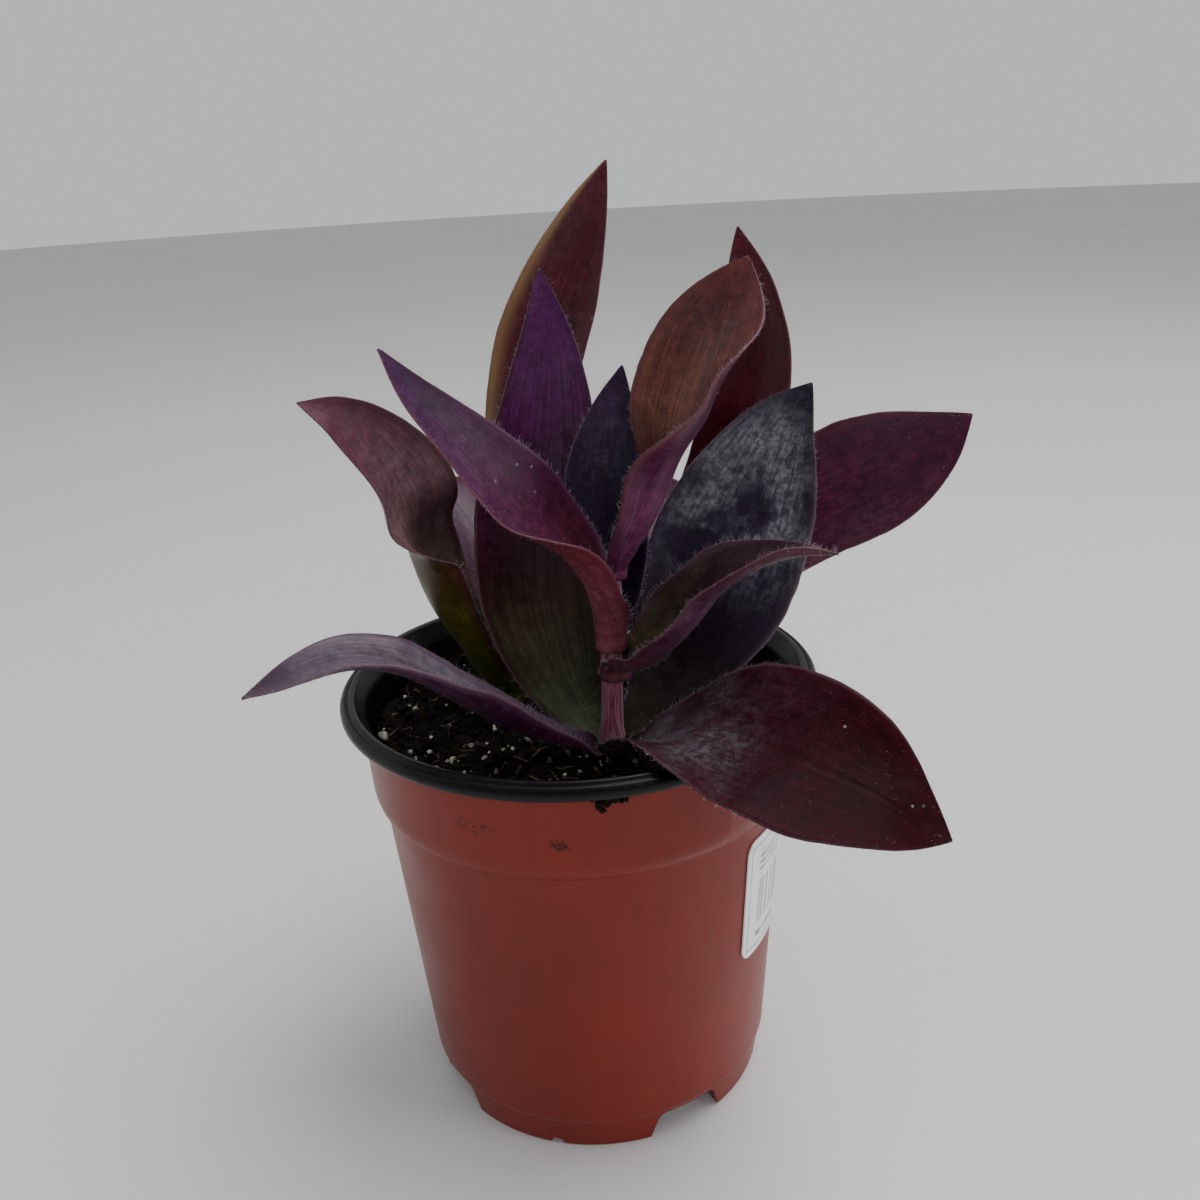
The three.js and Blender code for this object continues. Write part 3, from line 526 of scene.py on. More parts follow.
class Tone:
    """A node's output: a number, colour or vector, from which further ones are made"""

    def __init__(self, socket):
        self.socket = socket

    def then(self, kind, output, inputs, **settings):
        """The output of a further node in the same tree"""
        return add_node(self.socket.id_data, kind, output, inputs, **settings)

    def axis(self, letter):
        """One coordinate of a vector"""
        return self.then("SeparateXYZ", letter, {0: self})

    def scaled(self, scale, shift=(0, 0, 0)):
        """A vector stretched and shifted"""
        return self.then("Mapping", 0, {"Vector": self, "Scale": scale, "Location": shift})

    def away(self, place):
        """The distance from a vector to a place"""
        return self.then("VectorMath", "Value", {0: self, 1: place}, operation="DISTANCE")

    def noise(self, scale, detail=3, roughness=0.55):
        """Cloudy noise from 0 to 1 over a vector"""
        inputs = {"Vector": self, "Scale": scale, "Detail": detail, "Roughness": roughness}
        return self.then("TexNoise", "Fac", inputs)

    def dots(self, scale, inner, outer):
        """Scattered dots over a vector: 1 inside the inner radius and 0 outside the outer one"""
        distance = self.then("TexVoronoi", "Distance", {"Vector": self, "Scale": scale})
        return distance.step(inner, outer, 1, 0)

    def ramp(self, *stops):
        """Colours or greys at places from 0 to 1"""
        ramp = self.then("ValToRGB", 0, {0: self})
        band = ramp.socket.node.color_ramp
        band.interpolation = "EASE" if len(stops) == 2 else "CARDINAL"
        while len(band.elements) < len(stops):
            band.elements.new(1)
        for element, (where, colour) in zip(band.elements, stops):
            element.position = where
            element.color = (*colour, 1) if isinstance(colour, tuple) else (colour, colour, colour, 1)
        return ramp

    def step(self, low, high, start=0, end=1):
        """A soft step from one grey or colour to another"""
        return self.ramp((low, start), (high, end))

    def blend(self, kind, share, other):
        """This colour blended with another one by a share"""
        inputs = {"Factor": share, 6: self, 7: other}
        return self.then("Mix", 2, inputs, data_type="RGBA", blend_type=kind)

    def mixed(self, share, other):
        """This colour, replaced by another one by a share"""
        return self.blend("MIX", share, other)

    def tinted(self, other, share=1):
        """This colour multiplied by another one"""
        return self.blend("MULTIPLY", share, other)

    def math(self, operation, other=0.5):
        """One sum on this number and another"""
        return self.then("Math", 0, {0: self, 1: other}, operation=operation)

    def __add__(self, other):
        return self.math("ADD", other)

    def __mul__(self, other):
        return self.math("MULTIPLY", other)

    def __gt__(self, other):
        return self.math("GREATER_THAN", other)

    def __lt__(self, other):
        return self.math("LESS_THAN", other)

    def without(self, other):
        """This number less another"""
        return self.math("SUBTRACT", other)

    def bump(self, distance, strength=1, under=None):
        """A normal bent by this height in millimetres, laid over another bump"""
        inputs = {"Height": self, "Distance": distance * MM, "Strength": strength}
        if under is not None:
            inputs["Normal"] = under
        return self.then("Bump", 0, inputs)


class Surface:
    """A procedural material while it is being put together"""

    def __init__(self, name):
        self.material = bpy.data.materials.new(name)
        self.material.use_nodes = True
        self.tree = self.material.node_tree
        self.place = add_node(self.tree, "TexCoord", "Object")

    def blade(self):
        """The blade's own coordinates: (share along, share across, 0)"""
        return add_node(self.tree, "UVMap", "UV", uv_map="Blade")

    def attribute(self, name):
        """A number that the mesh carries"""
        return add_node(self.tree, "Attribute", "Fac", attribute_name=name)

    def made(self, **values):
        """The material, with the shader's sockets set; _ in a name stands for a space"""
        for name, value in values.items():
            feed(self.tree.nodes["Principled BSDF"].inputs[name.replace("_", " ")], value)
        return self.material


def leaf_material(name, look):
    """Fleshy leaf: colours along the blade on each face, fine lines, paler margins and dusty bloom; some
    margins are painted light shining through the blade, and the bloom is also painted sheen
    """
    surface = Surface(name + "_flesh")
    place = surface.place
    blade = surface.blade()
    along, across = blade.axis("X"), blade.axis("Y")
    outer = surface.attribute("outer")
    inner_colour = along.ramp(*zip(COLOUR_STATIONS, look.inner))
    colour = inner_colour.mixed(outer, along.ramp(*zip(COLOUR_STATIONS, look.outer)))

    clouds = place.noise(70, 4)
    colour = colour.tinted(clouds.step(0.3, 0.7, (0.74, 0.66, 0.72), (1.3, 1.3, 1.25)), 0.8)
    mottle = place.noise(420, 5, 0.68)
    colour = colour.tinted(mottle.step(0.32, 0.7, (0.66, 0.62, 0.64), (1.38, 1.34, 1.36)), 0.8)
    lines = blade.scaled((2.2, 62, 1)).noise(1, 3, 0.6)
    line_tint = lines.step(0.35, 0.68, (0.66, 0.6, 0.64), (1.34, 1.3, 1.36))
    colour = colour.tinted(line_tint, look.lines)
    # The low margin's colour, on leaf_tallest and leaf_left_long, is painted light shining through the thin
    # blade
    colour = colour.mixed(across.step(0, look.edge, 1, 0) * 0.75, look.low)
    colour = colour.mixed(across.step(0.9, 1) * 0.75, look.high)

    islands = place.noise(58, 4, 0.62).step(0.38, 0.64)
    streaks = blade.scaled((11, 34, 1)).noise(1, 5, 0.7)
    grain = (place.noise(620, 6, 0.75) * 0.6 + streaks * 0.4).step(0.42, 0.63, 0.05, 1)
    zone = along.ramp(*zip(look.zone, (0.04, 1, 0.85, 0.1)))
    zone = zone * across.ramp((0, 0.35), (0.4, 1), (0.7, 1), (1, 0.4))
    facing = outer.without(1) * -look.dust
    # Pale bloom in its zone on the inner face; on leaf_front_right this is painted sheen
    dust = (islands * grain * 0.85 + islands * 0.15) * zone * facing
    spots = place.dots(260, 0.06, 0.11) * place.noise(45, 1).step(0.56, 0.68) * look.spots
    colour = colour.mixed(dust + spots, BLOOM_AND_SHEEN_COLOUR)
    rim = across.without(0.5).math("ABSOLUTE").step(0.482, 0.496)
    colour = colour.mixed(rim * 0.28, (0.15, 0.09, 0.12))

    normal = across.ramp((0.47, 1), (0.5, 0), (0.53, 1)).bump(0.15, 0.35)
    normal = lines.bump(0.09, 0.6, normal)
    normal = mottle.bump(0.22, 0.7, normal)
    normal = place.noise(2600, 2).bump(0.05, 0.5, normal)
    return surface.made(
        Base_Color=colour, Roughness=(mottle * 0.5 + clouds * 0.5).step(0.35, 0.65, 0.3, 0.48), Normal=normal,
        Sheen_Weight=0.03, Sheen_Roughness=0.4, Sheen_Tint=(0.8, 0.75, 0.95),
        Specular_IOR_Level=look.shine, Subsurface_Weight=0.06,
        Subsurface_Radius=(0.9, 0.35, 0.5), Subsurface_Scale=1.2 * MM)


def hair_material():
    """Fine pale hairs, a little darker here and there"""
    surface = Surface("leaf_hair")
    tint = surface.place.noise(120).step(0.35, 0.7, (0.32, 0.27, 0.34), (0.62, 0.58, 0.66))
    return surface.made(Base_Color=tint, Roughness=0.5, Specular_IOR_Level=0.3)


def stem_material(colour):
    """Fleshy stem with fine lengthwise lines, darker blotches and a pale bloom"""
    surface = Surface("stem_flesh")
    lines = surface.place.scaled((1, 1, 0.035)).noise(2300, 3, 0.6)
    tint = surface.place.noise(160).step(0.35, 0.68, tuple(colour[:3]), (0.14, 0.02, 0.05))
    tint = tint.mixed(lines.step(0.42, 0.62, 0, 0.85), (0.33, 0.14, 0.19))
    return surface.made(
        Base_Color=tint, Roughness=0.42, Normal=lines.bump(0.2, 0.8), Sheen_Weight=0.2,
        Sheen_Tint=(0.9, 0.8, 0.95), Subsurface_Weight=0.12, Subsurface_Radius=(1, 0.3, 0.4),
        Subsurface_Scale=1.5 * MM)


def clay_material(colour):
    """Satin terracotta plastic: faint flow lines, and dark splashes of soil near the rim"""
    surface = Surface("terracotta_plastic")
    place = surface.place
    clouds = place.noise(22, 4)
    tint = clouds.step(0.3, 0.7, (0.9, 0.88, 0.88), (1.1, 1.1, 1.12)).tinted(tuple(colour[:3]))
    flow = place.scaled((1, 1, 0.06)).noise(260)
    tint = tint.tinted(flow.step(0.35, 0.65, 0.93, 1.06), 0.5)
    flat = place.scaled((1, 1, SPLASH_FLATNESS))
    patches = 0
    for (x, y, z), reach in SPLASHES:
        gap = flat.away(Vector((x, y, z * SPLASH_FLATNESS)) * MM)
        patches = (gap * (1 / (reach * MM))).step(0, 1, 1, 0).math("MAXIMUM", patches)
    dirt = place.noise(620, 6, 0.75).step(0.535, 0.575) * patches.step(0.15, 0.6)
    tint = tint.mixed(dirt * 0.9, (0.035, 0.012, 0.009))
    motes = place.dots(140, 0.022, 0.035) * place.noise(30, 1).step(0.56, 0.62)
    tint = tint.mixed(motes * 0.7, (0.07, 0.02, 0.015))
    rough = place.noise(48, 3, 0.5).step(0.3, 0.72, 0.31, 0.4) + dirt * 0.3
    normal = flow.bump(0.05, 0.5)
    normal = clouds.bump(0.3, 0.35, normal)
    normal = place.noise(3000, 1).bump(0.012, 0.4, normal)
    return surface.made(Base_Color=tint, Roughness=rough, Normal=normal, Specular_IOR_Level=0.3)


def black_material(colour):
    """The black inner layer of the plastic, with rub marks and a few soil specks"""
    surface = Surface("black_plastic")
    place = surface.place
    scuffs = place.noise(210, 5, 0.7)
    rubbed = tuple(Vector(colour[:3]).lerp(Vector((0.02, 0.019, 0.018)), 0.4))
    tint = scuffs.step(0.5, 0.85, tuple(colour[:3]), rubbed)
    specks = place.dots(330, 0.05, 0.1) * place.noise(65, 1).step(0.55, 0.62)
    return surface.made(
        Base_Color=tint.mixed(specks, (0.055, 0.035, 0.025)), Roughness=scuffs.step(0.35, 0.75, 0.3, 0.45),
        Normal=place.noise(90).bump(0.12, 0.4), Specular_IOR_Level=0.24)


def soil_material(colour, name="damp_soil", lift=1):
    """Damp potting mix: near black, with browner fibres"""
    surface = Surface(name)
    fine = surface.place.noise(900, 5, 0.7)
    dark, brown = [tuple(channel * lift for channel in tint) for tint in (colour[:3], (0.026, 0.014, 0.009))]
    normal = surface.place.noise(3200).bump(0.2, 0.8, fine.bump(0.7))
    return surface.made(
        Base_Color=fine.step(0.45, 0.75, dark, brown), Roughness=fine.step(0.4, 0.65, 0.5, 0.9),
        Normal=normal, Specular_IOR_Level=0.12)


def grain_material():
    """White volcanic grains, stained by the soil"""
    surface = Surface("white_grain")
    tint = surface.place.noise(700, 4).ramp(
        (0.36, (0.16, 0.12, 0.09)), (0.5, (0.5, 0.47, 0.42)), (0.7, (0.72, 0.7, 0.66)))
    return surface.made(Base_Color=tint, Roughness=0.8, Normal=surface.place.noise(5000).bump(0.08, 0.8))


def fibre_material():
    """Bits of bark and coir"""
    surface = Surface("bark_fibre")
    tint = surface.place.noise(300, 2).ramp(
        (0.35, (0.03, 0.016, 0.01)), (0.55, (0.09, 0.05, 0.03)), (0.72, (0.2, 0.13, 0.08)))
    return surface.made(Base_Color=tint, Roughness=0.8)


def label_material(colour):
    """Blank white label with a thin inner outline, a block of upright stripes and some plain bars"""
    surface = Surface("label_paper")
    blade = surface.blade()
    across, up = blade.axis("X"), blade.axis("Y")

    def block(left, right, bottom, top):
        return (across > left) * (across < right) * (up > bottom) * (up < top)

    def rows(count, share):
        return (up * count).math("FRACT") > share

    tint = surface.place.noise(60).step(0.3, 0.7, 0.93, 1.03).tinted(tuple(colour[:3]))
    outline = block(0.035, 0.965, 0.05, 0.95).without(block(0.045, 0.955, 0.065, 0.935))
    tint = tint.mixed(outline * 0.55, LABEL_INK)
    stripes = blade.scaled((75, 0, 0)).noise(1, 0) > 0.5
    words = blade.scaled((60, 0, 0), (3, 0, 0)).noise(1, 0) > 0.46
    marks = stripes * block(0.12, 0.45, 0.25, 0.62)
    marks = marks + rows(18, 0.55) * words * block(0.12, 0.88, 0.7, 0.87)
    marks = marks + rows(14, 0.6) * words * block(0.52, 0.88, 0.25, 0.62)
    marks = marks + words * block(0.12, 0.4, 0.13, 0.17)
    return surface.made(
        Base_Color=tint.mixed(marks * 0.8 * surface.attribute("face"), LABEL_INK), Roughness=0.38,
        Normal=surface.place.noise(1800, 2).bump(0.02, 0.4))


def recess_cutter(bm, width, top_width, height, azimuth):
    """A wedge across the foot ring's wall, with rounded upper corners"""
    reach = RECESS_REACH * MM
    made = bmesh.ops.create_cube(bm, size=1)["verts"]
    for vert in made:
        upper = vert.co.z > 0
        half = (top_width if upper else width) / 2 * MM
        vert.co = Vector((
            FOOT_RADIUS * MM + math.copysign(reach, vert.co.x),
            math.copysign(half, vert.co.y),
            (height if upper else -1) * MM,
        ))
    ridges = {edge for vert in made for edge in vert.link_edges
              if all(end.co.z > 0 for end in edge.verts)
              and abs(edge.verts[0].co.x - edge.verts[1].co.x) > reach}
    rounding = min(top_width / 4, RECESS_ROUNDING) * MM
    shaped = bmesh.ops.bevel(bm, geom=list(ridges), offset=rounding, offset_type="OFFSET", segments=4,
                             profile=0.5, affect="EDGES", material=-1)
    verts = [vert for vert in set(made) | set(shaped["verts"]) if vert.is_valid]
    bmesh.ops.rotate(bm, verts=verts, cent=(0, 0, 0), matrix=Matrix.Rotation(math.radians(azimuth), 3, "Z"))


def pot_cutters():
    """One mesh of everything that is cut out of the pot"""
    bm = bmesh.new()
    turn = 360 / FOOT_LOBES
    hole = DRAIN_HOLE_RADIUS * MM
    for lobe in range(FOOT_LOBES):
        azimuth = FIRST_RECESS_AZIMUTH + lobe * turn
        recess_cutter(bm, RECESS_WIDTH, RECESS_TOP_WIDTH, RECESS_HEIGHT, azimuth)
        recess_cutter(bm, NOTCH_WIDTH, NOTCH_WIDTH / 2, NOTCH_HEIGHT, azimuth + turn / 2)
        middle = Matrix.Translation(polar(DRAIN_HOLE_DISTANCE, azimuth, 0))
        cone(bm, 32, hole, hole, 3 * BODY_FOOT_HEIGHT * MM, middle)
    top, foot = POT_HEIGHT - RIM_DROP - 1.5, LEDGE_HEIGHT - 1
    section = [(body_radius(foot), foot), (RIM_RADIUS + 4, foot), (RIM_RADIUS + 4, top),
               (PANEL_TOP_RADIUS, top), (PANEL_FOOT_RADIUS, COLLAR_FOOT_HEIGHT)]
    panel = swept([polar(radius, PANEL_FROM_AZIMUTH, height) for radius, height in section],
                  math.radians(PANEL_TO_AZIMUTH - PANEL_FROM_AZIMUTH), 36, closed=True)
    bmesh.ops.holes_fill(panel, edges=panel.edges[:], sides=0)
    face_out(panel)
    carrier = bpy.data.meshes.new("panel")
    panel.to_mesh(carrier)
    panel.free()
    bm.from_mesh(carrier)
    bpy.data.meshes.remove(carrier)
    face_out(bm)
    return bm


def pot_profile():
    """The pot's section as corners (radius, height, fillet), from under the floor to the floor's inside"""
    rim_bottom = POT_HEIGHT - RIM_DROP
    floor_bottom = BODY_FOOT_HEIGHT - WALL
    floor_top = BODY_FOOT_HEIGHT + WALL
    foot = [
        (0, 0, 0),
        (PAD_RADIUS, 0, 0.6),
        (PAD_RADIUS + 1, floor_bottom, 0.9),
        (FOOT_RADIUS - FOOT_WALL - 0.6, floor_bottom, 0.9),
        (FOOT_RADIUS - FOOT_WALL, 0, 0.6),
        (FOOT_RADIUS, 0, 0.6),
        (BODY_FOOT_RADIUS - 0.9, BODY_FOOT_HEIGHT - 1, 0.5),
        (BODY_FOOT_RADIUS, BODY_FOOT_HEIGHT, 0.6),
    ]
    collar = [
        (BODY_TOP_RADIUS, LEDGE_HEIGHT, 0.4),
        (BODY_TOP_RADIUS + LEDGE_STEP, LEDGE_HEIGHT + 0.4, 0.5),
        (COLLAR_FOOT_RADIUS - 0.5, LEDGE_HEIGHT + 1.8, 0.9),
        (COLLAR_FOOT_RADIUS, COLLAR_FOOT_HEIGHT, 1.6),
        (COLLAR_TOP_RADIUS, rim_bottom - 1.2, 0.5),
        (COLLAR_TOP_RADIUS + 0.5, rim_bottom - 0.3, 0.3),
        (COLLAR_TOP_RADIUS + 0.6, rim_bottom + 0.9, 0.3),
    ]
    rim = [
        (RIM_RADIUS - 0.7, rim_bottom, 0.5),
        (RIM_RADIUS, rim_bottom + 0.9, 0.9),
        (RIM_RADIUS - 0.1, POT_HEIGHT - 1.3, 0.9),
        (RIM_RADIUS - 1, POT_HEIGHT - 0.35, 0.5),
        (RIM_RADIUS - 1.55, POT_HEIGHT - 0.95, 0.35),
        (RIM_RADIUS - 2.2, POT_HEIGHT, 0.4),
        (LIP_INNER_RADIUS + 0.4, POT_HEIGHT - 0.1, 0.4),
        (LIP_INNER_RADIUS, POT_HEIGHT - 0.8, 0.6),
    ]
    inside = [
        (COLLAR_TOP_RADIUS - WALL, rim_bottom, 1),
        (BODY_TOP_RADIUS - WALL, LEDGE_HEIGHT, 1),
        (BODY_FOOT_RADIUS - WALL, floor_top + 2, 1),
        (BODY_FOOT_RADIUS - WALL - 1.5, floor_top, 1),
        (PAD_RADIUS, floor_top, 0.6),
        (PAD_RADIUS - WALL, WALL, 0.6),
        (0, WALL, 0),
    ]
    return filleted(foot + collar + rim + inside)


def cut_out(piece, cutters):
    """Takes the cutters out of a piece, applies the cut and cleans what it leaves"""
    tool = finished("cutters", cutters, [])
    cut = piece.modifiers.new("Cuts", "BOOLEAN")
    cut.object = tool
    cut.operation = "DIFFERENCE"
    cut.solver = "EXACT"
    graph = bpy.context.evaluated_depsgraph_get()
    result = bpy.data.meshes.new_from_object(piece.evaluated_get(graph))
    piece.modifiers.clear()
    piece.data = result
    bpy.data.objects.remove(tool)
    clean = bmesh.new()
    clean.from_mesh(result)
    bmesh.ops.remove_doubles(clean, verts=clean.verts[:], dist=0.01 * MM)
    bmesh.ops.dissolve_degenerate(clean, dist=0.005 * MM, edges=clean.edges[:])
    bmesh.ops.triangulate(clean, faces=[face for face in clean.faces if len(face.verts) > 4])
    clean.to_mesh(result)
    clean.free()


def is_black(centre, normal):
    """Whether a face of the pot belongs to the black layer: the rolled rim and the inside"""
    radius = math.hypot(centre.x, centre.y) / MM
    height = centre.z / MM
    if height > POT_HEIGHT - RIM_DROP - 0.75:
        return True
    inward = normal.x * centre.x + normal.y * centre.y < 0
    within = radius < body_radius(height) - WALL / 2 + 0.9
    return within and height > BODY_FOOT_HEIGHT and (inward or normal.z > 0.9)


def build_pot(settings):
    """The pot, turned, cut and coloured in two layers"""
    piece = finished("pot_shell", turned(pot_profile(), settings.steps), [])
    cut_out(piece, pot_cutters())
    piece.data.materials.append(clay_material(settings.clay))
    piece.data.materials.append(black_material(settings.black))
    for face in piece.data.polygons:
        face.material_index = is_black(face.center, face.normal)
    piece.data.shade_smooth()
    piece.data.set_sharp_from_angle(angle=math.radians(32))
    return dressed(piece, "pot_plastic", "pot")


def build_label(settings):
    """The label: a thin bent plate with rounded corners, whose front carries only plain marks"""
    middle_height = (LABEL_TOP + LABEL_BOTTOM) / 2
    middle_radius = body_radius(middle_height)
    middle_azimuth = (LABEL_FROM_AZIMUTH + LABEL_TO_AZIMUTH) / 2
    half_width = math.radians(LABEL_TO_AZIMUTH - LABEL_FROM_AZIMUTH) * middle_radius / 2
    half_height = (LABEL_TOP - LABEL_BOTTOM) / 2

    def shaped(where):
        up = half_height * math.sin(where.y * math.pi / 2)
        into_corner = max(0, abs(up) - (half_height - LABEL_CORNER))
        narrowing = LABEL_CORNER - math.sqrt(LABEL_CORNER ** 2 - into_corner ** 2)
        return where.x * (half_width - narrowing), up

    def place(where, front):
        across, up = shaped(where)
        height = middle_height + up
        radius = body_radius(height) + lerp(LABEL_BACK_LIFT, LABEL_LIFT, front)
        return polar(radius, middle_azimuth + math.degrees(across / middle_radius), height)

    def mark(where):
        across, up = shaped(where)
        return 0.5 + across / half_width / 2, 0.5 + up / half_height / 2

    bm = plate(40, 40, "face", place, mark)
    return dressed(finished("label_sticker", bm, [label_material(settings.label)], 40), "label", "label")


def soil_height(x, y):
    """The top of the solid's soil"""
    outward = math.hypot(x, y) / BODY_TOP_RADIUS
    mound = SOIL_MOUND * (1 - outward ** 2)
    bank = SOIL_BANK * smooth(outward, 0.72, 1)
    broad = math.sin(x / SOIL_WAVE + 1.3) * math.cos(y / SOIL_WAVE)
    narrow = math.sin((x - 0.85 * y) / (0.46 * SOIL_WAVE))
    return SOIL_TOP + mound + bank + SOIL_LUMP * (0.6 * broad + 0.4 * narrow)


def soil_surface(x, y):
    """The solid's soil with the finer lumps of a real mix"""
    broad = noise.noise(Vector((x * 0.42, y * 0.42, 3.1)))
    narrow = noise.noise(Vector((x * 1.1, y * 1.1, 7.7)))
    return soil_height(x, y) + 0.9 * broad + 0.55 * narrow


def build_soil(settings):
    """The plug of potting mix"""
    floor = BODY_FOOT_HEIGHT + WALL + 0.3
    edge_radius = COLLAR_TOP_RADIUS - WALL - 1.3
    profile = [(0, floor), (BODY_FOOT_RADIUS - WALL - 2, floor), (BODY_TOP_RADIUS - WALL - 0.3, LEDGE_HEIGHT)]
    profile += [(edge_radius * (1 - ring / SOIL_RINGS), SOIL_TOP) for ring in range(SOIL_RINGS + 1)]
    bm = turned(profile, SOIL_STEPS)
    for vert in bm.verts:
        if vert.co.z > (SOIL_TOP - 0.1) * MM:
            vert.co.z = soil_surface(vert.co.x / MM, vert.co.y / MM) * MM
    return dressed(finished("soil_plug", bm, [soil_material(settings.colour)]), "soil", "soil")


def soil_spot(draw, reach):
    """A random place on the soil"""
    radius = reach * math.sqrt(draw.random())
    angle = draw.uniform(0, 2 * math.pi)
    return radius * math.cos(angle), radius * math.sin(angle)


def random_turn(draw):
    """A random rotation"""
    axis = Vector((draw.uniform(-1, 1), draw.uniform(-1, 1), draw.uniform(-1, 1))).normalized()
    return Quaternion(axis, draw.uniform(0, 2 * math.pi)).to_matrix().to_4x4()


def lump(bm, draw, place, size, detail):
    """One small uneven stone or crumb"""
    stretch = Matrix.Diagonal((draw.uniform(0.7, 1.25), draw.uniform(0.6, 1.1), draw.uniform(0.5, 0.9), 1))
    where = Matrix.Translation(place) @ random_turn(draw) @ stretch
    made = bmesh.ops.create_icosphere(bm, subdivisions=detail, radius=size * MM, matrix=where)["verts"]
    for vert in made:
        vert.co += (vert.co - place) * draw.uniform(-0.28, 0.22)


def scatter(bm, draw, count, reach, sizes, big_share, lift, detail):
    """Lumps all over the soil, a share of them bigger"""
    for _ in range(count):
        x, y = soil_spot(draw, reach)
        size = draw.uniform(*sizes) * (BIG_LUMP if draw.random() < big_share else 1)
        lump(bm, draw, Vector((x, y, soil_surface(x, y) + size * lift)) * MM, size, detail)


def build_crumbs(settings):
    """Loose crumbs, white grains and fibres on the soil, and the clot stuck under the rim"""
    draw = random.Random(11)
    crumbs = bmesh.new()
    scatter(crumbs, draw, settings.crumbs, *CRUMBS)
    for _ in range(CLOT_LUMPS):
        azimuth = CLOT_AZIMUTH + CLOT_SPREAD * draw.gauss(0, 1)
        sunk = abs(draw.gauss(0, 1))
        size = draw.uniform(0.35, 0.95)
        height = POT_HEIGHT - RIM_DROP - 0.4 - CLOT_DROP * sunk
        lump(crumbs, draw, polar(COLLAR_TOP_RADIUS + 0.2 + 0.9 / (1 + sunk), azimuth, height), size, 2)
    crumb = soil_material(settings.colour, "loose_crumb", 1.3)
    dressed(finished("soil_crumbs", crumbs, [crumb], 30), "soil")

    grains = bmesh.new()
    scatter(grains, draw, settings.grains, *GRAINS)
    dressed(finished("white_grains", grains, [grain_material()], 50), "soil")

    fibres = bmesh.new()
    for _ in range(settings.fibres):
        x, y = soil_spot(draw, FIBRE_REACH)
        length = draw.uniform(1.2, 4.2) * MM
        place = Vector((x, y, soil_surface(x, y) + 0.45)) * MM
        heading = Quaternion((0, 0, 1), draw.uniform(0, 2 * math.pi))
        lie = heading @ Quaternion((1, 0, 0), draw.uniform(1.2, 1.9))
        flat = Matrix.Diagonal((draw.uniform(1, 2.6), 1, 1, 1))
        thin = draw.uniform(0.09, 0.22) * MM
        cone(fibres, 5, thin, thin * 0.6, length, Matrix.Translation(place) @ lie.to_matrix().to_4x4() @ flat)
    dressed(finished("soil_fibres", fibres, [fibre_material()], 40), "soil")


def stem_point(stem, height):
    """The point on a stem's axis at a height, in millimetres"""
    foot, top = Vector(stem["foot"]), Vector(stem["top"])
    return foot.lerp(top, (height - foot.z) / (top.z - foot.z))


def stem_line(stem):
    """The direction in which a stem grows"""
    return (Vector(stem["top"]) - Vector(stem["foot"])).normalized()


def build_stem(name, settings):
    """A shoot with swollen nodes, a thin ring at each and a rounded top"""
    stem = STEMS[name]
    foot, top = Vector(stem["foot"]), Vector(stem["top"])
    length = (top - foot).length
    profile = [(0, 0)]
    for ring in range(STEM_RINGS + 1):
        share = ring / STEM_RINGS
        gap = min(abs(lerp(foot.z, top.z, share) - node) for node in stem["nodes"])
        swelling = sum(rise * math.exp(-(gap / reach) ** 2) for rise, reach in NODE_BULGES)
        radius = lerp(*stem["radii"], share) + swelling - 0.1
        profile.append((radius * min(1, (1 - share) * 25 + 0.4), share * length))
    profile.append((0, length))
    bm = turned(profile, 40)
    for vert in bm.verts:
        angle = math.atan2(vert.co.y, vert.co.x)
        vert.co.xy *= 1 + 0.02 * math.sin(7 * angle) + 0.015 * math.sin(13 * angle + 1)
    bmesh.ops.transform(bm, matrix=standing(foot * MM, top - foot), verts=bm.verts[:])
    return dressed(finished(name + "_flesh", bm, [stem_material(settings.stem)]), "stem", name)


class Midrib:
    """A leaf's middle line: a centripetal spline through its sheath and its path, measured by length"""

    def __init__(self, leaf):
        start, length, radius, azimuth, _ = leaf.sheath
        side = polar(1 / MM, azimuth, 0)
        heights = [start + length * share for share in (0, 0.5, 1)]
        clasping = [stem_point(STEMS[leaf.stem], height) + side * radius for height in heights]
        self.points = clasping + [Vector(point) for point in leaf.path]
        self.lengths = [0]
        before = self.at(0)
        for step in range(1, MIDRIB_DIVISIONS + 1):
            here = self.at(step / MIDRIB_DIVISIONS)
            self.lengths.append(self.lengths[-1] + (here - before).length)
            before = here

    def at(self, t):
        """The point at a spline parameter from 0 to 1"""
        points = self.points
        spot = t * (len(points) - 1)
        start = min(int(spot), len(points) - 2)
        share = spot - start
        first, second = points[start], points[start + 1]
        before = points[start - 1] if start > 0 else first * 2 - second
        after = points[start + 2] if start + 2 < len(points) else second * 2 - first
        gap_before, gap, gap_after = [math.sqrt((a - b).length) for a, b in
                                      ((before, first), (first, second), (second, after))]
        leave = (first - before) / gap_before - (second - before) / (gap_before + gap) + (second - first) / gap
        arrive = (second - first) / gap - (after - first) / (gap + gap_after) + (after - second) / gap_after
        leave *= gap
        arrive *= gap
        bend = 3 * (second - first) - 2 * leave - arrive
        twist = 2 * (first - second) + leave + arrive
        return first + share * (leave + share * (bend + share * twist))

    def parameter(self, u):
        """The spline parameter at a share of the length"""
        target = u * self.lengths[-1]
        low = bisect_right(self.lengths, target, 1, MIDRIB_DIVISIONS) - 1
        span = self.lengths[low + 1] - self.lengths[low]
        return (low + (target - self.lengths[low]) / span) / MIDRIB_DIVISIONS

    def tangent(self, u):
        """The direction at a share of the length"""
        t = self.parameter(u)
        return (self.at(min(1, t + TANGENT_STEP)) - self.at(max(0, t - TANGENT_STEP))).normalized()


def through(values, share, turn):
    """Three values in turn: the first up to the leaf's turn, the second after it, and the last at the tip"""
    start, end = turn
    if share < start:
        return values[0]
    if share < end:
        return lerp(values[0], values[1], smooth(share, start, end))
    return lerp(values[1], values[2], smooth(share, end, 1))


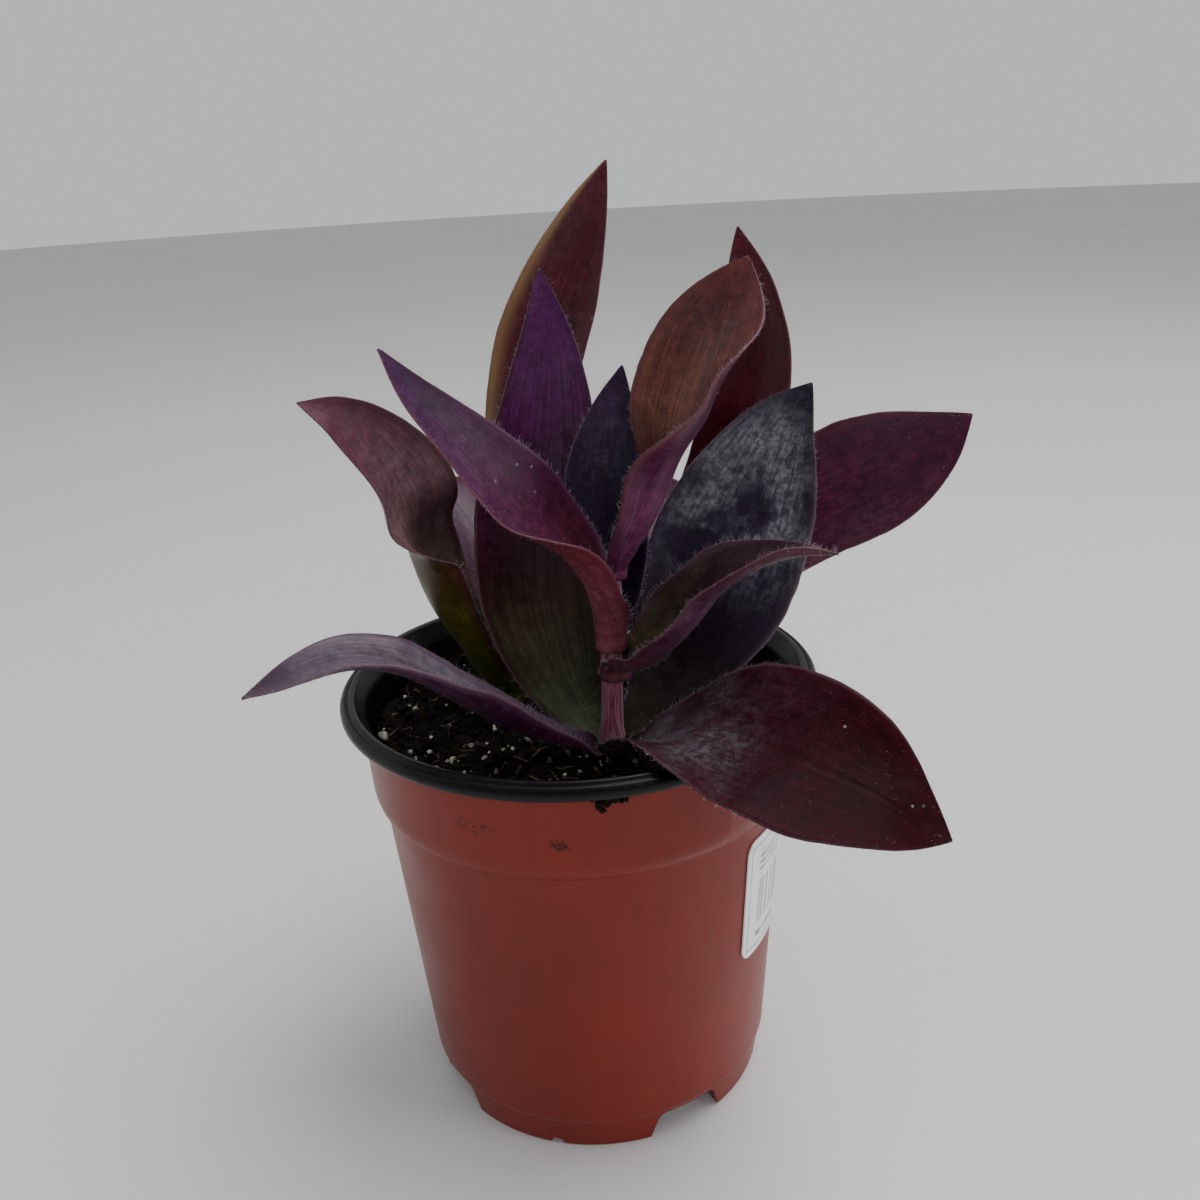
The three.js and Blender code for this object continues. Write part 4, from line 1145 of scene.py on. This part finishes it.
def blade_half_width(leaf, throat, share):
    """Half the blade's width along its arc"""
    if share < leaf.widest:
        return lerp(throat, leaf.half_width, math.sin(share / leaf.widest * math.pi / 2))
    beyond = (share - leaf.widest) / (1 - leaf.widest)
    return lerp(TIP_HALF_WIDTH, leaf.half_width, 1 - beyond ** leaf.taper)


class Blade:
    """The shape of a leaf: points from a share along it, a place across it from -1 to 1, and a face"""

    def __init__(self, name):
        self.leaf = LEAVES[name]
        self.midrib = Midrib(self.leaf)
        self.sheath_share = self.leaf.sheath[1] / self.midrib.lengths[-1]
        self.seed = 10 * list(LEAVES).index(name)
        self.sections = {}

    def section(self, u):
        """The middle, frame and arc of the cross-section at a share of the length"""
        key = round(u, 6)
        if key in self.sections:
            return self.sections[key]
        leaf = self.leaf
        _, _, sheath_radius, azimuth, wrap = leaf.sheath
        middle = self.midrib.at(self.midrib.parameter(u))
        share = max(0, (u - self.sheath_share) / (1 - self.sheath_share))
        tangent = stem_line(STEMS[leaf.stem]) if share == 0 else self.midrib.tangent(u)
        opening = Vector([through(ways, share, leaf.turn) for ways in zip(*leaf.opening)]).normalized()
        opened = smooth(share, 0, OPENING_SHARE)
        inward = (-polar(1 / MM, azimuth, 0)).lerp(opening, opened)
        inward = (inward - tangent * inward.dot(tangent)).normalized()
        sheath_arc = math.radians(wrap)
        arc = lerp(sheath_arc, math.radians(through(leaf.fold, share, leaf.turn)), opened)
        half_width = blade_half_width(leaf, sheath_radius * sheath_arc, share)
        found = (middle, inward, tangent.cross(inward), arc, half_width / arc, share)
        self.sections[key] = found
        return found

    def point(self, u, v, outer):
        """A point of the leaf in metres; outer is 0 on the inner face and 1 on the outer one"""
        middle, inward, across, arc, radius, share = self.section(u)
        crimp = 0.012 * noise.noise(Vector((share * 26, v * 1.5, self.seed)))
        turn = v * arc * (1 + crimp * smooth(abs(v), 0.5, 1) * smooth(share, 0.1, 0.3))
        depth = outer * lerp(BLADE_THICKNESS, MARGIN_THICKNESS, v * v) * lerp(1, 0.5, smooth(share, 0.9, 1))
        ripple = self.leaf.wave * math.sin(share * RIPPLES + v * 2)
        ripple += 0.35 * noise.noise(Vector((share * 11, v * 1.3, self.seed + 3)))
        reach = radius + depth + ripple * v * v * math.sin(share * math.pi)
        bend = radius - reach * math.cos(turn)
        return (middle + inward * bend + across * reach * math.sin(turn)) * MM

    def normal(self, u, v):
        """The direction that the outer face looks in"""
        return (self.point(u, v, 1) - self.point(u, v, 0)).normalized()


def build_leaf(name):
    """One leaf: two fine grids bent into the faces of the blade"""
    blade = Blade(name)
    bm = plate(ALONG, ACROSS, "outer", lambda where, outer: blade.point((where.x + 1) / 2, where.y, outer),
               lambda where: ((where.x + 1) / 2, (where.y + 1) / 2))
    piece = finished(name + "_blade", bm, [leaf_material(name, LEAF_LOOKS[name])])
    return dressed(piece, name.replace("leaf_", "blade_"), name)


def build_hairs(name, settings, material):
    """Fine hairs on a leaf: most along its margins and round its throat, some on both faces"""
    blade = Blade(name)
    draw = random.Random(name)
    bm = bmesh.new()
    for _ in range(settings.hairs):
        on_margin = draw.random() < 0.5
        u = draw.uniform(0.01, 0.995) if draw.random() < 0.75 else draw.uniform(0.01, 0.3)
        side = draw.choice((-1, 1))
        v = side * draw.uniform(0.97, 1) if on_margin else draw.uniform(-0.96, 0.96)
        outer = 0.5 if on_margin else draw.choice((0, 1))
        root = blade.point(u, v, outer)
        way = blade.normal(u, v) * (1 if outer else -1)
        along = (blade.point(min(1, u + 0.01), v, outer) - root).normalized()
        if on_margin:
            aside = (root - blade.point(u, v * 0.9, outer)).normalized()
            way = aside + way * draw.uniform(-0.8, 0.8)
        way += along * draw.uniform(0, 1.1)
        way = (way + Vector([draw.uniform(-0.4, 0.4) for _ in range(3)])).normalized()
        length = settings.hair_length * draw.uniform(0.3, 1) * (1 if on_margin else 0.55)
        radius = settings.hair_radius
        cone(bm, 3, radius, radius * 0.15, length, standing(root + way * length * 0.48, way))
    return dressed(finished(name + "_hairs", bm, [material]), name.replace("leaf_", "blade_"))


def soft_light(name, place, size, power, colour, mirrored=True):
    """A large soft area light that looks at the plant, which shiny surfaces mirror or not"""
    data = bpy.data.lights.new(name, "AREA")
    data.shape = "RECTANGLE"
    data.size, data.size_y = size
    data.energy = power
    data.color = colour
    light = bpy.data.objects.new(name, data)
    look = (Vector(LIT_PLACE) - Vector(place)).to_track_quat("-Z", "Y")
    light.matrix_world = Matrix.Translation(Vector(place)) @ look.to_matrix().to_4x4()
    light.visible_glossy = mirrored
    bpy.context.scene.collection.objects.link(light)


def photo_camera():
    """The camera at the photograph's place, turned by its yaw, pitch and roll"""
    yaw, pitch, roll = (math.radians(angle) for angle in (CAMERA_YAW, CAMERA_PITCH, CAMERA_ROLL))
    ahead = Vector((math.sin(yaw) * math.cos(pitch), math.cos(yaw) * math.cos(pitch), -math.sin(pitch)))
    right = Vector((math.cos(yaw), -math.sin(yaw), 0))
    up = right.cross(ahead)
    rolled_right = right * math.cos(roll) + up * math.sin(roll)
    rolled_up = up * math.cos(roll) - right * math.sin(roll)
    data = bpy.data.cameras.new("photo_camera")
    data.lens = data.sensor_width * FOCAL_PIXELS / IMAGE_PIXELS
    data.clip_start = 0.01
    camera = bpy.data.objects.new("photo_camera", data)
    turn = Matrix((rolled_right, rolled_up, -ahead)).transposed().to_4x4()
    camera.matrix_world = Matrix.Translation(Vector(CAMERA_PLACE) * MM) @ turn
    bpy.context.scene.collection.objects.link(camera)
    bpy.context.scene.camera = camera


def floor_material(colour):
    """A plain pale floor, very slightly cloudy"""
    surface = Surface("pale_floor")
    tint = surface.place.noise(3, 2).step(0.3, 0.7, 0.97, 1.02).tinted(tuple(colour[:3]))
    return surface.made(Base_Color=tint, Roughness=0.5, Specular_IOR_Level=0.35)


def build_stage(settings):
    """The floor, the lights, the sky and the camera"""
    bm = bmesh.new()
    bmesh.ops.create_circle(bm, cap_ends=True, segments=64, radius=4)
    floor = finished("floor", bm, [floor_material(settings.floor)])
    world = bpy.data.worlds.new("studio")
    world.use_nodes = True
    depth = add_node(world.node_tree, "TexCoord", "Generated").axis("Y")
    share = depth.then("MapRange", 0, {"Value": depth, "From Min": -0.9, "From Max": 0.5})
    walls = {"Factor": share, 6: (0.16, 0.165, 0.175), 7: (0.62, 0.63, 0.64)}
    feed(world.node_tree.nodes["Background"].inputs["Color"], share.then("Mix", 2, walls, data_type="RGBA"))
    bpy.context.scene.world = world
    fill = settings.fill_power
    soft_light("ceiling", (0.4, 0.1, 1.15), (1.0, 0.8), settings.key_power, (1, 0.99, 0.97))
    soft_light("room", (0.15, -1.05, 0.6), (1.1, 0.5), fill * 3, (1, 0.99, 0.98), False)
    soft_light("left_wall", (-0.85, 0.05, 0.4), (0.35, 0.9), fill * 0.4, (0.97, 0.98, 1))
    soft_light("right_wall", (0.8, -0.4, 0.35), (0.3, 0.8), fill * 1.3, (0.97, 0.98, 1))
    photo_camera()


class TRADESCANTIA_OT_stage(bpy.types.Operator):
    """Sets the floor, the lights and the camera"""
    bl_idname = "tradescantia.stage"
    bl_label = "Set the stage"

    def execute(self, context):
        build_stage(context.scene.tradescantia_stage)
        return {"FINISHED"}


class TRADESCANTIA_OT_pot(bpy.types.Operator):
    """Makes the two-tone nursery pot and its blank label"""
    bl_idname = "tradescantia.pot"
    bl_label = "Make the pot"

    def execute(self, context):
        build_pot(context.scene.tradescantia_pot)
        build_label(context.scene.tradescantia_pot)
        return {"FINISHED"}


class TRADESCANTIA_OT_soil(bpy.types.Operator):
    """Fills the pot with potting mix and scatters what lies on it"""
    bl_idname = "tradescantia.soil"
    bl_label = "Fill the soil"

    def execute(self, context):
        build_soil(context.scene.tradescantia_soil)
        build_crumbs(context.scene.tradescantia_soil)
        return {"FINISHED"}


class TRADESCANTIA_OT_stems(bpy.types.Operator):
    """Grows the stems"""
    bl_idname = "tradescantia.stems"
    bl_label = "Grow the stems"

    def execute(self, context):
        for name in STEMS:
            build_stem(name, context.scene.tradescantia_plant)
        return {"FINISHED"}


class TRADESCANTIA_OT_leaves(bpy.types.Operator):
    """Grows the leaves"""
    bl_idname = "tradescantia.leaves"
    bl_label = "Grow the leaves"

    def execute(self, context):
        for name in LEAVES:
            build_leaf(name)
        return {"FINISHED"}


class TRADESCANTIA_OT_hairs(bpy.types.Operator):
    """Grows the fine hairs on the leaves"""
    bl_idname = "tradescantia.hairs"
    bl_label = "Grow the hairs"

    def execute(self, context):
        material = hair_material()
        for name in LEAVES:
            build_hairs(name, context.scene.tradescantia_plant, material)
        return {"FINISHED"}


OPERATORS = (
    TRADESCANTIA_OT_stage,
    TRADESCANTIA_OT_pot,
    TRADESCANTIA_OT_soil,
    TRADESCANTIA_OT_stems,
    TRADESCANTIA_OT_leaves,
    TRADESCANTIA_OT_hairs,
)


class TRADESCANTIA_PT_panel(bpy.types.Panel):
    """Lists the steps that build the plant"""
    bl_label = "Potted tradescantia"
    bl_space_type = "VIEW_3D"
    bl_region_type = "UI"
    bl_category = "Tradescantia"

    def draw(self, context):
        for operator in OPERATORS:
            self.layout.operator(operator.bl_idname)
        for group in ("tradescantia_pot", "tradescantia_soil", "tradescantia_plant", "tradescantia_stage"):
            settings = getattr(context.scene, group)
            for name in settings.__annotations__:
                self.layout.prop(settings, name)


SETTINGS = {
    "tradescantia_pot": PotSettings,
    "tradescantia_soil": SoilSettings,
    "tradescantia_plant": PlantSettings,
    "tradescantia_stage": StageSettings,
}


def register():
    for settings in SETTINGS.values():
        bpy.utils.register_class(settings)
    for name, settings in SETTINGS.items():
        setattr(bpy.types.Scene, name, bpy.props.PointerProperty(type=settings))
    for operator in OPERATORS:
        bpy.utils.register_class(operator)
    bpy.utils.register_class(TRADESCANTIA_PT_panel)


def unregister():
    bpy.utils.unregister_class(TRADESCANTIA_PT_panel)
    for operator in reversed(OPERATORS):
        bpy.utils.unregister_class(operator)
    for name, settings in SETTINGS.items():
        delattr(bpy.types.Scene, name)
        bpy.utils.unregister_class(settings)


def main():
    register()
    for build in (
        bpy.ops.tradescantia.stage,
        bpy.ops.tradescantia.pot,
        bpy.ops.tradescantia.soil,
        bpy.ops.tradescantia.stems,
        bpy.ops.tradescantia.leaves,
        bpy.ops.tradescantia.hairs,
    ):
        build()


if __name__ == "__main__":
    main()
